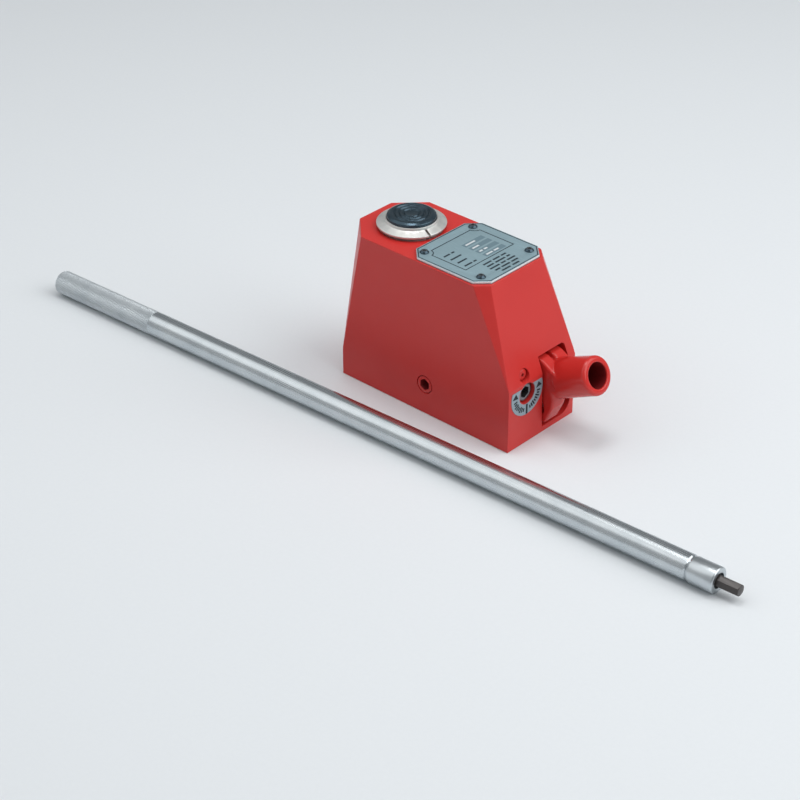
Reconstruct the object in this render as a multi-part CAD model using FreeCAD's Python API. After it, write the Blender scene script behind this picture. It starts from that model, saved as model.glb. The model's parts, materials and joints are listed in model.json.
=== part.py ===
import FreeCAD, Part
import math
import os

# A compact hydraulic jack: a painted aluminium block with a lifting ram, a pump lever with a
# handle socket, a release valve, and the loose pump handle that lies on the floor beside it.
# Millimetres, +Z up. The origin is on the underside of the block, on its middle line and FRONT_X
# behind its front face. The ram stands at the rear (-X) and the pump lever sticks out of the
# front (+X). Everything is drawn at rest.

Vector = FreeCAD.Vector

# Block
BODY_LENGTH = 162.3
BODY_WIDTH = 74.0
FRONT_X = 80.75
BODY_HEIGHT = 123.5
FRONT_BREAK_Z = 50.5       # the front face is upright below this height and leans back above it
FRONT_SETBACK = 26.5       # how far the front face has leaned back at the top
FRONT_CHAMFER = 8.8        # corner chamfers grow from nothing to this width at the top
REAR_BREAK_Z = 20.5
REAR_CHAMFER = 20.3
EDGE_BREAK = 0.4           # every edge of the block is broken by this much

# Ram and cylinder
RAM_X = -45.6
CYLINDER_FLOOR_Z = 12.0
CYLINDER_R = 19.0
LINER_R = 23.0
GLAND_THREAD_R = 24.0
GLAND_FLANGE_R = 25.75
GLAND_BOTTOM_Z = 106.0
GLAND_NECK_R = 22.5
GLAND_NECK_Z = 121.5
GLAND_FLANGE_Z = (125.9, 127.4)    # underside and upper edge of the flange's rim
GLAND_COLLAR_R = 19.6
GLAND_COLLAR_Z = (129.5, 131.3)    # foot and top of the collar round the saddle
GLAND_MOUTH_R = 18.6
GLAND_LEDGE_Z = 127.2              # ledge inside the collar, under the saddle
GLAND_SLOT_ANGLE = -17.0
GLAND_SLOT_WIDTH = 1.8
GLAND_SLOT_Z = 126.9
RAM_R = 15.0
PISTON_HEIGHT = 18.0
RUNNING_GAP = 0.05         # radial play of every running fit
SADDLE_R = 18.25
SADDLE_FACE_R = 15.9
SADDLE_SHOULDER = 1.2      # how far the rim drops from the face to the side
SADDLE_TOP_Z = 134.3
SADDLE_FOOT_Z = 127.7
SADDLE_CENTRE_R = 3.0
SADDLE_DIMPLE = 0.4        # the middle of the face is this much lower
SADDLE_GROOVES = (5.9, 9.4, 12.8)
SADDLE_GROOVE = (0.9, 0.5, 1.0)    # half width at the face and at the floor, and depth
SADDLE_FOOT_CHAMFER = 1.5
SPIGOT_R = 7.0
SPIGOT_LENGTH = 12.0
PISTON_FOOT_Z = 12.4       # just clear of the cylinder's floor
PISTON_SEAL = (4.0, 9.0, 3.5)     # groove foot and top above the piston's foot, and its depth
PISTON_GUIDE = (12.0, 15.5, 2.0)
LINER_SEAL = 1.5
BUSH_R = 17.5
BUSH_LENGTH = 10.0
WIPER_R = 18.0
WIPER_HEIGHT = 5.0

# Reservoir and its lid plate
RESERVOIR_X = 14.0
RESERVOIR_R = 28.0
RESERVOIR_FLOOR_Z = 47.0
PLATE_X = (-17.5, 53.0)
PLATE_HALF_WIDTH = 35.3
PLATE_CORNER = 9.2
PLATE_THICKNESS = 1.5
GASKET_THICKNESS = 0.5
PLATE_SCREW_X = (-9.5, 43.5)
PLATE_SCREW_Y = 26.2
PLATE_SCREW_R = 2.0
PLATE_SCREW_FOOT_Z = 114.0
PLATE_SCREW_HEAD_R = 3.4
PLATE_SCREW_HEAD = 1.8
PLATE_SCREW_RIM = 0.5
PLATE_SCREW_CROWN_R = 2.1
PLATE_SCREW_FLATS = 2.5

# Pump: lever pivot, lever socket and plunger
POCKET_LEFT_Y = (1.4, -0.6)        # at the foot and at the top
POCKET_RIGHT_Y = (34.0, 28.2)
POCKET_Z = (4.8, 62.8)
POCKET_FOOT_ROUND = 10.5
POCKET_TOP_ROUND = 3.2
POCKET_BACK_X = 48.0
PIVOT_X = 73.0
PIVOT_Z = 49.5
PIVOT_PIN_R = 4.0
PIVOT_PIN_Y = (-5.0, 36.4)
EYE_R = 10.0
SOCKET_TILT = 25.2         # degrees above level, at rest
SOCKET_MOUTH = Vector(117.7, 16.0, 56.75)
SOCKET_R = 14.5            # at the mouth
SOCKET_ROOT_R = 15.4       # the casting's draft makes it thicker at its root
SOCKET_RIM = 2.6           # rounding of the mouth
SOCKET_BORE_R = 9.7
SOCKET_LEAD = 0.2
SOCKET_DEPTH = 37.5
SOCKET_ROOT = 50.0         # where the round socket ends inside the pocket, from its mouth
SOCKET_FLAT_DEPTH = 30.8   # deeper than this its sides are flat
LEVER_UP = 20.0            # lever travel above and below rest, degrees
LEVER_DOWN = 26.0
LEVER_LEFT_Y = 1.8
LEVER_RIGHT_Y = 28.5
LEG_RIGHT_Y = 17.0
LEG_OUTLINE = [(64.5, 45.0, 3), (70.5, 9.0, 3), (82.3, 7.8, 3), (88.6, 22.0, 6), (89.6, 29.5, 6),
               (86.0, 43.0, 4)]    # x, z and rounding of each corner
CASTING_ROUND = 1.5        # rounding of the cast lever's outer edges
EAR_RIGHT_Y = 26.0
EAR_SLOT_Y = (12.1, 14.8)
EAR_SLOT_DEPTH = 3.4
EAR_FRONT_R = 7.0
PLUNGER_Y = 10.5
PLUNGER_Z = 22.0
PLUNGER_R = 5.0
LINK_PIN_X = 77.0
LINK_PIN_R = 3.0
LINK_PLAY = 0.7            # play of the link pin and tang in the lever
TANG_HALF_WIDTH = 3.3
TANG_HALF_HEIGHT = 4.5
TANG_LENGTH = 13.0
PLUNGER_INNER_X = 27.5
PLUNGER_PER_RADIAN = 29.4  # plunger travel for one radian of lever travel
BARREL_R = 7.5
BARREL_X = (8.0, 50.0)
CHAMBER_END_X = -4.0
SEAL_R = 6.5
SEAL_X = 41.0
SEAL_LENGTH = 4.0
BARREL_SLOT = (1.5, 2.0)   # depth and width of the spanner slot

# Valves
GALLERY_X = 1.0
GALLERY_Z = 24.3
GALLERY_R = 4.5
GALLERY_END_Y = 14.0
OIL_WAY_R = 1.6
FOOT_WAY_R = 2.1           # cross drilling under the liner, wider than those that end in it
PLUG_R = 7.2
PLUG_MOUTH = 0.4           # countersink round the plug
PLUG_END_R = 6.6           # its outer end is narrower, down to this depth
PLUG_END = 1.8
PLUG_FACE_Y = -36.7
PLUG_SEAT_Y = -24.0
PLUG_WASHER = 1.5
HEX_KEY_FLATS = 8.0
HEX_SOCKET_FLATS = 8.2
HEX_SOCKET_DEPTH = 7.0
TURNED_CHAMFER = 0.8       # on the ends of turned pieces
CHECK_BORE_R = 5.0
CHECK_HOLE_R = 1.8
CHECK_BALL_R = 3.0
INLET_Y = PLUNGER_Y
DELIVERY_Y = -8.0
INLET_LEDGE_Z = 29.0
DELIVERY_SEAT_Z = 31.0
SPRING_R = 2.6
SPRING_WIRE = 0.8
SPRING_LENGTH = 5.0
SPRING_TURNS = 4
BALL_GAP = 0.03            # every ball is drawn this far off what it rests on
CAP_HEAD = 2.0             # valve caps stand this far above the reservoir floor
CAP_SLOT = 1.5
RELEASE_Y = -17.0
RELEASE_Z = 41.8
RELEASE_BALL_R = 2.5
RELEASE_HOLE_R = 1.6
RELEASE_SEAT_X = 37.4
RELEASE_STEM_X = 46.0
RELEASE_STEM_R = 4.5
RELEASE_NOSE_R = 2.0
RELEASE_GROOVE_X = (60.0, 63.0)
RELEASE_GROOVE_R = 3.4
RELEASE_HEAD_X = 66.0
RELEASE_HEAD_R = 7.4
RELEASE_HEAD_GAP = 0.3
RELEASE_FACE_X = 78.7
RELEASE_RECESS_X = 76.7
RELEASE_RECESS_R = 8.1
FILLER_Y = -18.3
FILLER_Z = 55.8
FILLER_R = 4.6
FILLER_RECESS = 0.6        # gap round the screw's head
FILLER_DOME = 1.8
FILLER_FLATS = 2.5
FILLER_HOLE_R = 2.0
FILLER_INNER_X = 62.0
FILLER_FACE_X = 77.3
LABEL_Y = -17.3
LABEL_R = (8.6, 17.1)
LABEL_TOP_Z = 47.6         # the label's ring is cut off level here
LABEL_THICKNESS = 0.4

# Pump handle
HANDLE_R = 9.525
HANDLE_BORE_R = 7.0
HANDLE_TUBE_LENGTH = 598.0
HANDLE_LENGTH = 619.5
HANDLE_GROOVE = 0.9        # depth of the groove where tube and plug meet
HANDLE_BEVEL = 2.2         # length of the groove's slope on the plug
HANDLE_SPIGOT = 30.0
GRIP_CHAMFER = 1.2
KEY_REACH = 16.5           # hex key showing past the end of the handle
KEY_HELD = 35.0
KEY_WELL_R = 5.8
KEY_WELL_DEPTH = 10.0
HANDLE_END = Vector(-331.8, -98.9, HANDLE_R)
HANDLE_ANGLE = 2.8         # degrees from the block's long side
HANDLE_ROLL = -9.5         # how it has rolled about its own length

REAR_X = FRONT_X - BODY_LENGTH
HALF_WIDTH = BODY_WIDTH / 2
ALONG_X = Vector(1, 0, 0)
ALONG_Y = Vector(0, 1, 0)
ALONG_Z = Vector(0, 0, 1)


# Shape helpers

def rod_x(radius, x0, x1, y, z):
    return Part.makeCylinder(radius, x1 - x0, Vector(x0, y, z), ALONG_X)


def rod_y(radius, y0, y1, x, z):
    return Part.makeCylinder(radius, y1 - y0, Vector(x, y0, z), ALONG_Y)


def rod_z(radius, z0, z1, x, y):
    return Part.makeCylinder(radius, z1 - z0, Vector(x, y, z0), ALONG_Z)


def drilling(radius, start, end):
    """A straight round hole between two points."""
    way = end - start
    return Part.makeCylinder(radius, way.Length, start, way)


def outline(corners, place):
    """A closed wire from corners (u, v, radius); place turns u, v into a point in space."""
    points = [FreeCAD.Vector(u, v, 0) for u, v, radius in corners]
    stations = []
    for i, (u, v, radius) in enumerate(corners):
        corner = points[i]
        back = (points[i - 1] - corner).normalize()
        ahead = (points[(i + 1) % len(points)] - corner).normalize()
        if radius == 0:
            stations.append((corner, None, corner))
            continue
        half = back.getAngle(ahead) / 2
        middle = (back + ahead).normalize() * (radius / math.sin(half) - radius)
        reach = radius / math.tan(half)
        stations.append((corner + back * reach, corner + middle, corner + ahead * reach))
    edges = []
    for i, (start, middle, end) in enumerate(stations):
        if middle is not None:
            edges.append(Part.Arc(place(start), place(middle), place(end)).toShape())
        following = stations[(i + 1) % len(stations)][0]
        if (following - end).Length > 1e-6:
            edges.append(Part.LineSegment(place(end), place(following)).toShape())
    return Part.Wire(Part.__sortEdges__(edges))


def prism_x(corners, x0, x1):
    """A (y, z) outline carried along X."""
    wire = outline(corners, lambda p: Vector(x0, p.x, p.y))
    return Part.Face(wire).extrude(Vector(x1 - x0, 0, 0))


def prism_y(corners, y0, y1):
    """An (x, z) outline carried along Y."""
    wire = outline(corners, lambda p: Vector(p.x, y0, p.y))
    return Part.Face(wire).extrude(Vector(0, y1 - y0, 0))


def prism_z(corners, z0, z1):
    """An (x, y) outline carried along Z."""
    wire = outline(corners, lambda p: Vector(p.x, p.y, z0))
    return Part.Face(wire).extrude(Vector(0, 0, z1 - z0))


def turned(profile, axis_start, axis):
    """A turned solid from corners: radius, distance along the axis, and rounding where there is one."""
    axis = Vector(axis).normalize()
    side = Vector(0, 1, 0) if abs(axis.y) < 0.5 else Vector(0, 0, 1)
    corners = [(*corner, 0)[:3] for corner in profile]
    wire = outline(corners, lambda p: axis_start + axis * p.y + side * p.x)
    return Part.Face(wire).revolve(axis_start, axis, 360)


def hexagon(across_flats, start, way):
    """A hexagonal bar from start, as long as the vector way."""
    radius = across_flats / math.sqrt(3)
    axis = Vector(way).normalize()
    side = Vector(0, 0, 1) if abs(axis.z) < 0.9 else Vector(1, 0, 0)
    side = (side - axis * side.dot(axis)).normalize()
    other = axis.cross(side)
    turns = [math.radians(60 * i) for i in range(6)]
    points = [start + (side * math.cos(a) + other * math.sin(a)) * radius for a in turns]
    return Part.Face(Part.makePolygon(points + points[:1])).extrude(way)


def strap(centre_a, radius_a, centre_b, radius_b, y0, y1):
    """Two round ends in the XZ plane joined by their outer tangents, carried along Y."""
    way = centre_b - centre_a
    lean = math.asin((radius_a - radius_b) / way.Length)
    along = Vector(way).normalize()
    across = Vector(-along.z, 0, along.x)
    upper = across * math.cos(lean) + along * math.sin(lean)
    lower = across * -math.cos(lean) + along * math.sin(lean)
    sides = [centre_a + upper * radius_a, centre_b + upper * radius_b,
             centre_b + lower * radius_b, centre_a + lower * radius_a]
    solid = prism_y([(p.x, p.z, 0) for p in sides], y0, y1)
    ends = [rod_y(radius_a, y0, y1, centre_a.x, centre_a.z),
            rod_y(radius_b, y0, y1, centre_b.x, centre_b.z)]
    return solid.multiFuse(ends).removeSplitter()


def rounded_sides(solid, radius):
    """Rounds the edges round both side faces of a solid that was carried along Y."""
    sides = (solid.BoundBox.YMin, solid.BoundBox.YMax)
    edges = [edge for edge in solid.Edges
             if edge.BoundBox.YLength < 0.01 and min(abs(edge.BoundBox.YMin - y) for y in sides) < 0.01]
    return solid.makeFillet(radius, edges)


def spring(foot_z, y):
    """A check valve's spring: a flat-wire coil, upright in the valve's hole."""
    rise = SPRING_LENGTH - SPRING_WIRE
    helix = Part.makeHelix(rise / SPRING_TURNS, rise, SPRING_R)
    half = SPRING_WIRE / 2
    corners = [Vector(SPRING_R + u * half, 0, v * half) for u, v in ((-1, -1), (1, -1), (1, 1), (-1, 1))]
    section = Part.makePolygon(corners + corners[:1])
    coil = Part.Wire(helix).makePipeShell([section], True, True)
    coil.translate(Vector(GALLERY_X, y, foot_z + half))
    return coil


def tube_x(outer, inner, x0, x1, y, z):
    return rod_x(outer, x0, x1, y, z).cut(rod_x(inner, x0, x1, y, z))


def tube_y(outer, inner, y0, y1, x, z):
    return rod_y(outer, y0, y1, x, z).cut(rod_y(inner, y0, y1, x, z))


def tube_z(outer, inner, z0, z1, x, y):
    return rod_z(outer, z0, z1, x, y).cut(rod_z(inner, z0, z1, x, y))


# Block

def front_x(z):
    """Where the front face is at a height."""
    lean = max(0, z - FRONT_BREAK_Z) / (BODY_HEIGHT - FRONT_BREAK_Z)
    return FRONT_X - FRONT_SETBACK * lean


def corner_cutter(low, side_point, end_point):
    """Everything outside the plane of a tapering corner chamfer."""
    normal = (side_point - low).cross(end_point - low)
    if normal.dot(low) < 0:
        normal = normal * -1
    return Part.makeCylinder(BODY_LENGTH, BODY_HEIGHT, (low + side_point + end_point) / 3, normal)


def block_outside():
    top_x = front_x(BODY_HEIGHT)
    side_view = [(REAR_X, 0, 0), (FRONT_X, 0, 0), (FRONT_X, FRONT_BREAK_Z, 0),
                 (top_x, BODY_HEIGHT, 0), (REAR_X, BODY_HEIGHT, 0)]
    block = prism_y(side_view, -HALF_WIDTH, HALF_WIDTH)
    for side in (-1, 1):
        edge_y = side * HALF_WIDTH
        front = corner_cutter(Vector(FRONT_X, edge_y, FRONT_BREAK_Z),
                              Vector(top_x - FRONT_CHAMFER, edge_y, BODY_HEIGHT),
                              Vector(top_x, edge_y - side * FRONT_CHAMFER, BODY_HEIGHT))
        rear = corner_cutter(Vector(REAR_X, edge_y, REAR_BREAK_Z),
                             Vector(REAR_X + REAR_CHAMFER, edge_y, BODY_HEIGHT),
                             Vector(REAR_X, edge_y - side * REAR_CHAMFER, BODY_HEIGHT))
        block = block.cut(front).cut(rear)
    block = block.removeSplitter()
    return block.makeChamfer(EDGE_BREAK, block.Edges)


def lever_pocket():
    """The upright pocket in the front face, wider at its foot and rounded on the far side."""
    foot, top = POCKET_Z
    corners = [(POCKET_LEFT_Y[0], foot, 0.5), (POCKET_RIGHT_Y[0], foot, POCKET_FOOT_ROUND),
               (POCKET_RIGHT_Y[1], top, POCKET_TOP_ROUND), (POCKET_LEFT_Y[1], top, 0.8)]
    return prism_x(corners, POCKET_BACK_X, FRONT_X + 5)


def pump_bores():
    """The plunger barrel's hole, its inner chamber and the cross gallery behind the side plug."""
    mouth = [(0, 0), (PLUG_R + PLUG_MOUTH, 0), (PLUG_R, PLUG_MOUTH), (0, PLUG_MOUTH)]
    return [rod_x(BARREL_R, BARREL_X[0], POCKET_BACK_X + 1, PLUNGER_Y, PLUNGER_Z),
            rod_x(PLUNGER_R, CHAMBER_END_X, BARREL_X[0] + 1, PLUNGER_Y, PLUNGER_Z),
            rod_y(GALLERY_R, PLUG_SEAT_Y, GALLERY_END_Y, GALLERY_X, GALLERY_Z),
            rod_y(PLUG_R, -HALF_WIDTH - 1, PLUG_SEAT_Y + PLUG_WASHER, GALLERY_X, GALLERY_Z),
            turned(mouth, Vector(GALLERY_X, -HALF_WIDTH, GALLERY_Z), ALONG_Y)]


def check_valve_bores():
    """Upright holes in the reservoir floor for the inlet and delivery valves."""
    above_floor = RESERVOIR_FLOOR_Z + 1
    return [rod_z(CHECK_BORE_R, INLET_LEDGE_Z, above_floor, GALLERY_X, INLET_Y),
            rod_z(CHECK_HOLE_R, PLUNGER_Z, INLET_LEDGE_Z + 1, GALLERY_X, INLET_Y),
            rod_z(CHECK_BORE_R, DELIVERY_SEAT_Z, above_floor, GALLERY_X, DELIVERY_Y),
            rod_z(CHECK_HOLE_R, GALLERY_Z, DELIVERY_SEAT_Z + 1, GALLERY_X, DELIVERY_Y)]


def release_bores():
    """The stepped hole of the release valve, and the small filler hole above it."""
    past_front = FRONT_X + 5
    return [rod_x(RELEASE_RECESS_R, RELEASE_RECESS_X, past_front, RELEASE_Y, RELEASE_Z),
            rod_x(RELEASE_HEAD_R + RELEASE_HEAD_GAP, RELEASE_HEAD_X - 0.5, past_front, RELEASE_Y, RELEASE_Z),
            rod_x(RELEASE_STEM_R + RUNNING_GAP, RELEASE_STEM_X - 2, RELEASE_HEAD_X, RELEASE_Y, RELEASE_Z),
            rod_x(RELEASE_BALL_R + 0.5, RELEASE_SEAT_X, RELEASE_STEM_X, RELEASE_Y, RELEASE_Z),
            rod_x(RELEASE_HOLE_R, RELEASE_SEAT_X - 4, RELEASE_SEAT_X + 1, RELEASE_Y, RELEASE_Z),
            rod_x(FILLER_R + FILLER_RECESS, FILLER_FACE_X - 3, past_front, FILLER_Y, FILLER_Z),
            rod_x(FILLER_R, FILLER_INNER_X, past_front, FILLER_Y, FILLER_Z),
            rod_x(FILLER_HOLE_R, RESERVOIR_X, FILLER_INNER_X + 1, FILLER_Y, FILLER_Z)]


def oil_ways():
    """Slanting drillings between the valves, the cylinder floor and the reservoir."""
    delivery_room = Vector(GALLERY_X - 3, DELIVERY_Y, DELIVERY_SEAT_Z + 6)
    under_liner = Vector(RAM_X + LINER_R + 3, DELIVERY_Y, CYLINDER_FLOOR_Z - 3.5)
    cylinder_foot = Vector(RAM_X + CYLINDER_R - 3, DELIVERY_Y, under_liner.z)
    release_room = Vector(RELEASE_SEAT_X - 2, RELEASE_Y, RELEASE_Z)
    return_start = Vector(RELEASE_STEM_X - 1, RELEASE_Y, RELEASE_Z + 2)
    return_end = Vector(RESERVOIR_X + 18, RELEASE_Y + 5, RESERVOIR_FLOOR_Z + 6)
    foot_way = rod_x(FOOT_WAY_R, cylinder_foot.x - 3, under_liner.x + 3, DELIVERY_Y, under_liner.z)
    return [drilling(OIL_WAY_R, delivery_room, under_liner),
            foot_way,
            rod_z(OIL_WAY_R, cylinder_foot.z, CYLINDER_FLOOR_Z + 1, cylinder_foot.x, DELIVERY_Y),
            drilling(OIL_WAY_R, delivery_room, release_room),
            drilling(OIL_WAY_R, return_start, return_end)]


def plate_screw_places():
    return [(x, y) for x in PLATE_SCREW_X for y in (-PLATE_SCREW_Y, PLATE_SCREW_Y)]


def body_block():
    above = BODY_HEIGHT + 1
    cutters = [rod_z(LINER_R, CYLINDER_FLOOR_Z, above, RAM_X, 0),
               rod_z(GLAND_THREAD_R, GLAND_BOTTOM_Z - 2, above, RAM_X, 0),
               rod_z(RESERVOIR_R, RESERVOIR_FLOOR_Z, above, RESERVOIR_X, 0),
               lever_pocket(),
               rod_y(PIVOT_PIN_R, PIVOT_PIN_Y[0], HALF_WIDTH + 1, PIVOT_X, PIVOT_Z)]
    cutters += [rod_z(PLATE_SCREW_R, PLATE_SCREW_FOOT_Z, above, x, y) for x, y in plate_screw_places()]
    cutters += pump_bores() + check_valve_bores() + release_bores() + oil_ways()
    block = block_outside()
    for cutter in cutters:
        block = block.cut(cutter)
    return block


# Cylinder, gland and ram

def cylinder_liner():
    return tube_z(LINER_R, CYLINDER_R, CYLINDER_FLOOR_Z + LINER_SEAL, GLAND_BOTTOM_Z, RAM_X, 0)


def liner_seal():
    return tube_z(LINER_R, CYLINDER_R, CYLINDER_FLOOR_Z, CYLINDER_FLOOR_Z + LINER_SEAL, RAM_X, 0)


def gland_nut():
    """Threaded ring with a coned flange, a collar round the saddle and two spanner slots in the cone."""
    flange, rim = GLAND_FLANGE_Z
    collar, top = GLAND_COLLAR_Z
    ram_hole = RAM_R + 0.4
    wiper_z = GLAND_LEDGE_Z - WIPER_HEIGHT
    bush_z = GLAND_BOTTOM_Z + BUSH_LENGTH
    profile = [(BUSH_R, GLAND_BOTTOM_Z), (GLAND_THREAD_R, GLAND_BOTTOM_Z), (GLAND_THREAD_R, GLAND_NECK_Z),
               (GLAND_NECK_R, GLAND_NECK_Z), (GLAND_NECK_R, flange), (GLAND_FLANGE_R, flange, 0.4),
               (GLAND_FLANGE_R, rim, 0.4), (GLAND_COLLAR_R, collar), (GLAND_COLLAR_R, top, 0.3),
               (GLAND_MOUTH_R, top), (GLAND_MOUTH_R, GLAND_LEDGE_Z), (WIPER_R, GLAND_LEDGE_Z),
               (WIPER_R, wiper_z), (ram_hole, wiper_z), (ram_hole, bush_z), (BUSH_R, bush_z)]
    ring = turned(profile, Vector(RAM_X, 0, 0), ALONG_Z)
    for turn in (0, 180):
        slot = Part.makeBox(GLAND_FLANGE_R, GLAND_SLOT_WIDTH, top - GLAND_SLOT_Z,
                            Vector(GLAND_COLLAR_R + 0.05, -GLAND_SLOT_WIDTH / 2, GLAND_SLOT_Z))
        slot.rotate(Vector(0, 0, 0), ALONG_Z, GLAND_SLOT_ANGLE + turn)
        slot.translate(Vector(RAM_X, 0, 0))
        ring = ring.cut(slot)
    return ring


def guide_bush():
    return tube_z(BUSH_R, RAM_R + RUNNING_GAP, GLAND_BOTTOM_Z, GLAND_BOTTOM_Z + BUSH_LENGTH, RAM_X, 0)


def rod_wiper():
    return tube_z(WIPER_R, RAM_R + RUNNING_GAP, GLAND_LEDGE_Z - WIPER_HEIGHT, GLAND_LEDGE_Z, RAM_X, 0)


def ram():
    """Rod and piston in one piece, with two piston grooves and a hole for the saddle's spigot."""
    foot = PISTON_FOOT_Z
    shoulder = foot + PISTON_HEIGHT
    piston_r = CYLINDER_R - RUNNING_GAP
    profile = [(0, foot), (piston_r - 1, foot), (piston_r, foot + 1)]
    for low, high, depth in (PISTON_SEAL, PISTON_GUIDE):
        profile += [(piston_r, foot + low), (piston_r - depth, foot + low),
                    (piston_r - depth, foot + high), (piston_r, foot + high)]
    profile += [(piston_r, shoulder), (RAM_R, shoulder), (RAM_R, SADDLE_FOOT_Z), (SPIGOT_R, SADDLE_FOOT_Z),
                (SPIGOT_R, SADDLE_FOOT_Z - SPIGOT_LENGTH), (0, SADDLE_FOOT_Z - SPIGOT_LENGTH)]
    return turned(profile, Vector(RAM_X, 0, 0), ALONG_Z)


def piston_ring(low, high, depth):
    outer = CYLINDER_R - RUNNING_GAP / 2
    inner = CYLINDER_R - RUNNING_GAP - depth
    return tube_z(outer, inner, PISTON_FOOT_Z + low, PISTON_FOOT_Z + high, RAM_X, 0)


def saddle():
    """Load cap with a sloping rim and turned rings on its face."""
    face = SADDLE_TOP_Z
    lip, foot, depth = SADDLE_GROOVE
    spigot_z = SADDLE_FOOT_Z - SPIGOT_LENGTH + 1
    profile = [(0, face - SADDLE_DIMPLE), (SADDLE_CENTRE_R, face - SADDLE_DIMPLE)]
    for radius in SADDLE_GROOVES:
        profile += [(radius - lip, face), (radius - foot, face - depth),
                    (radius + foot, face - depth), (radius + lip, face)]
    profile += [(SADDLE_FACE_R, face, 1.5), (SADDLE_R, face - SADDLE_SHOULDER, 0.8),
                (SADDLE_R, SADDLE_FOOT_Z + SADDLE_FOOT_CHAMFER),
                (SADDLE_R - SADDLE_FOOT_CHAMFER, SADDLE_FOOT_Z),
                (SPIGOT_R, SADDLE_FOOT_Z), (SPIGOT_R, spigot_z), (0, spigot_z)]
    return turned(profile, Vector(RAM_X, 0, 0), ALONG_Z)


# Lid plate over the reservoir

def plate_blank(z0, z1):
    rear, front = PLATE_X
    cut = PLATE_CORNER
    half = PLATE_HALF_WIDTH
    corners = [(rear, cut - half, 0), (rear + cut, -half, 0), (front - cut, -half, 0),
               (front, cut - half, 0), (front, half - cut, 0), (front - cut, half, 0),
               (rear + cut, half, 0), (rear, half - cut, 0)]
    blank = prism_z(corners, z0, z1)
    for x, y in plate_screw_places():
        blank = blank.cut(rod_z(PLATE_SCREW_R, z0, z1, x, y))
    return blank


def top_plate():
    foot = BODY_HEIGHT + GASKET_THICKNESS
    return plate_blank(foot, foot + PLATE_THICKNESS)


def plate_gasket():
    opening = rod_z(RESERVOIR_R, BODY_HEIGHT, BODY_HEIGHT + GASKET_THICKNESS, RESERVOIR_X, 0)
    return plate_blank(BODY_HEIGHT, BODY_HEIGHT + GASKET_THICKNESS).cut(opening)


def plate_screws():
    """Four button-head socket screws."""
    seat = BODY_HEIGHT + GASKET_THICKNESS + PLATE_THICKNESS
    crown = seat + PLATE_SCREW_HEAD
    profile = [(0, PLATE_SCREW_FOOT_Z), (PLATE_SCREW_R, PLATE_SCREW_FOOT_Z), (PLATE_SCREW_R, seat),
               (PLATE_SCREW_HEAD_R, seat), (PLATE_SCREW_HEAD_R, seat + PLATE_SCREW_RIM),
               (PLATE_SCREW_CROWN_R, crown), (0, crown)]
    screws = []
    for x, y in plate_screw_places():
        floor = Vector(x, y, seat + PLATE_SCREW_RIM)
        socket = hexagon(PLATE_SCREW_FLATS, floor, Vector(0, 0, PLATE_SCREW_HEAD))
        screws.append(turned(profile, Vector(x, y, 0), ALONG_Z).cut(socket))
    return Part.makeCompound(screws)


# Pump lever and plunger

SOCKET_AXIS = Vector(math.cos(math.radians(SOCKET_TILT)), 0, math.sin(math.radians(SOCKET_TILT)))
SOCKET_ACROSS = Vector(-SOCKET_AXIS.z, 0, SOCKET_AXIS.x)
PIVOT = Vector(PIVOT_X, 0, PIVOT_Z)


def in_socket(depth, offset=0.0):
    """A point at a depth behind the socket's mouth, and an offset above its axis."""
    return SOCKET_MOUTH - SOCKET_AXIS * depth + SOCKET_ACROSS * offset


def socket_tube():
    profile = [(0, 0), (SOCKET_R, 0, SOCKET_RIM), (SOCKET_ROOT_R, SOCKET_ROOT), (0, SOCKET_ROOT)]
    return turned(profile, SOCKET_MOUTH, SOCKET_AXIS * -1)


def socket_bore():
    profile = [(0, 0), (SOCKET_BORE_R + SOCKET_LEAD, 0), (SOCKET_BORE_R, SOCKET_LEAD),
               (SOCKET_BORE_R, SOCKET_DEPTH), (0, SOCKET_DEPTH)]
    return turned(profile, SOCKET_MOUTH, SOCKET_AXIS * -1)


def socket_flats():
    """What is taken off both sides of the socket's root, so that it goes into the pocket."""
    reach = 2 * SOCKET_ROOT_R
    ends = [in_socket(SOCKET_FLAT_DEPTH, reach), in_socket(SOCKET_FLAT_DEPTH, -reach),
            in_socket(2 * SOCKET_ROOT, -reach), in_socket(2 * SOCKET_ROOT, reach)]
    corners = [(p.x, p.z, 0) for p in ends]
    return [prism_y(corners, LEVER_LEFT_Y - reach, LEVER_LEFT_Y),
            prism_y(corners, LEVER_RIGHT_Y, LEVER_RIGHT_Y + reach)]


def plunger_at(lever_turn):
    """How far along X the plunger is from rest when the lever has turned, degrees down."""
    return -PLUNGER_PER_RADIAN * math.radians(lever_turn)


def tang_room(lever_turn):
    """Room that the plunger's flat end needs in the lever at one lever angle."""
    half_height = TANG_HALF_HEIGHT + LINK_PLAY
    half_width = TANG_HALF_WIDTH + LINK_PLAY / 2
    x = LINK_PIN_X + plunger_at(lever_turn)
    end = rod_y(half_height, PLUNGER_Y - half_width, PLUNGER_Y + half_width, x, PLUNGER_Z)
    neck = Part.makeBox(30, 2 * half_width, 2 * half_height,
                        Vector(x - 30, PLUNGER_Y - half_width, PLUNGER_Z - half_height))
    room = end.fuse(neck)
    room.rotate(PIVOT, ALONG_Y, -lever_turn)
    return room


def link_slot():
    """The slot in the lever's leg that the link pin slides along as the lever turns."""
    arm = Vector(LINK_PIN_X - PIVOT_X, 0, PLUNGER_Z - PIVOT_Z)
    down = Vector(arm).normalize()
    drop = PIVOT_Z - PLUNGER_Z
    lean = math.degrees(math.atan2(arm.x, -arm.z))
    farthest = drop / math.cos(math.radians(LEVER_UP + lean))
    slot_r = LINK_PIN_R + LINK_PLAY
    return strap(PIVOT + down * (drop - 0.3), slot_r, PIVOT + down * (farthest + 0.3), slot_r,
                 LEVER_LEFT_Y - 1, LEG_RIGHT_Y + 1)


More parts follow.
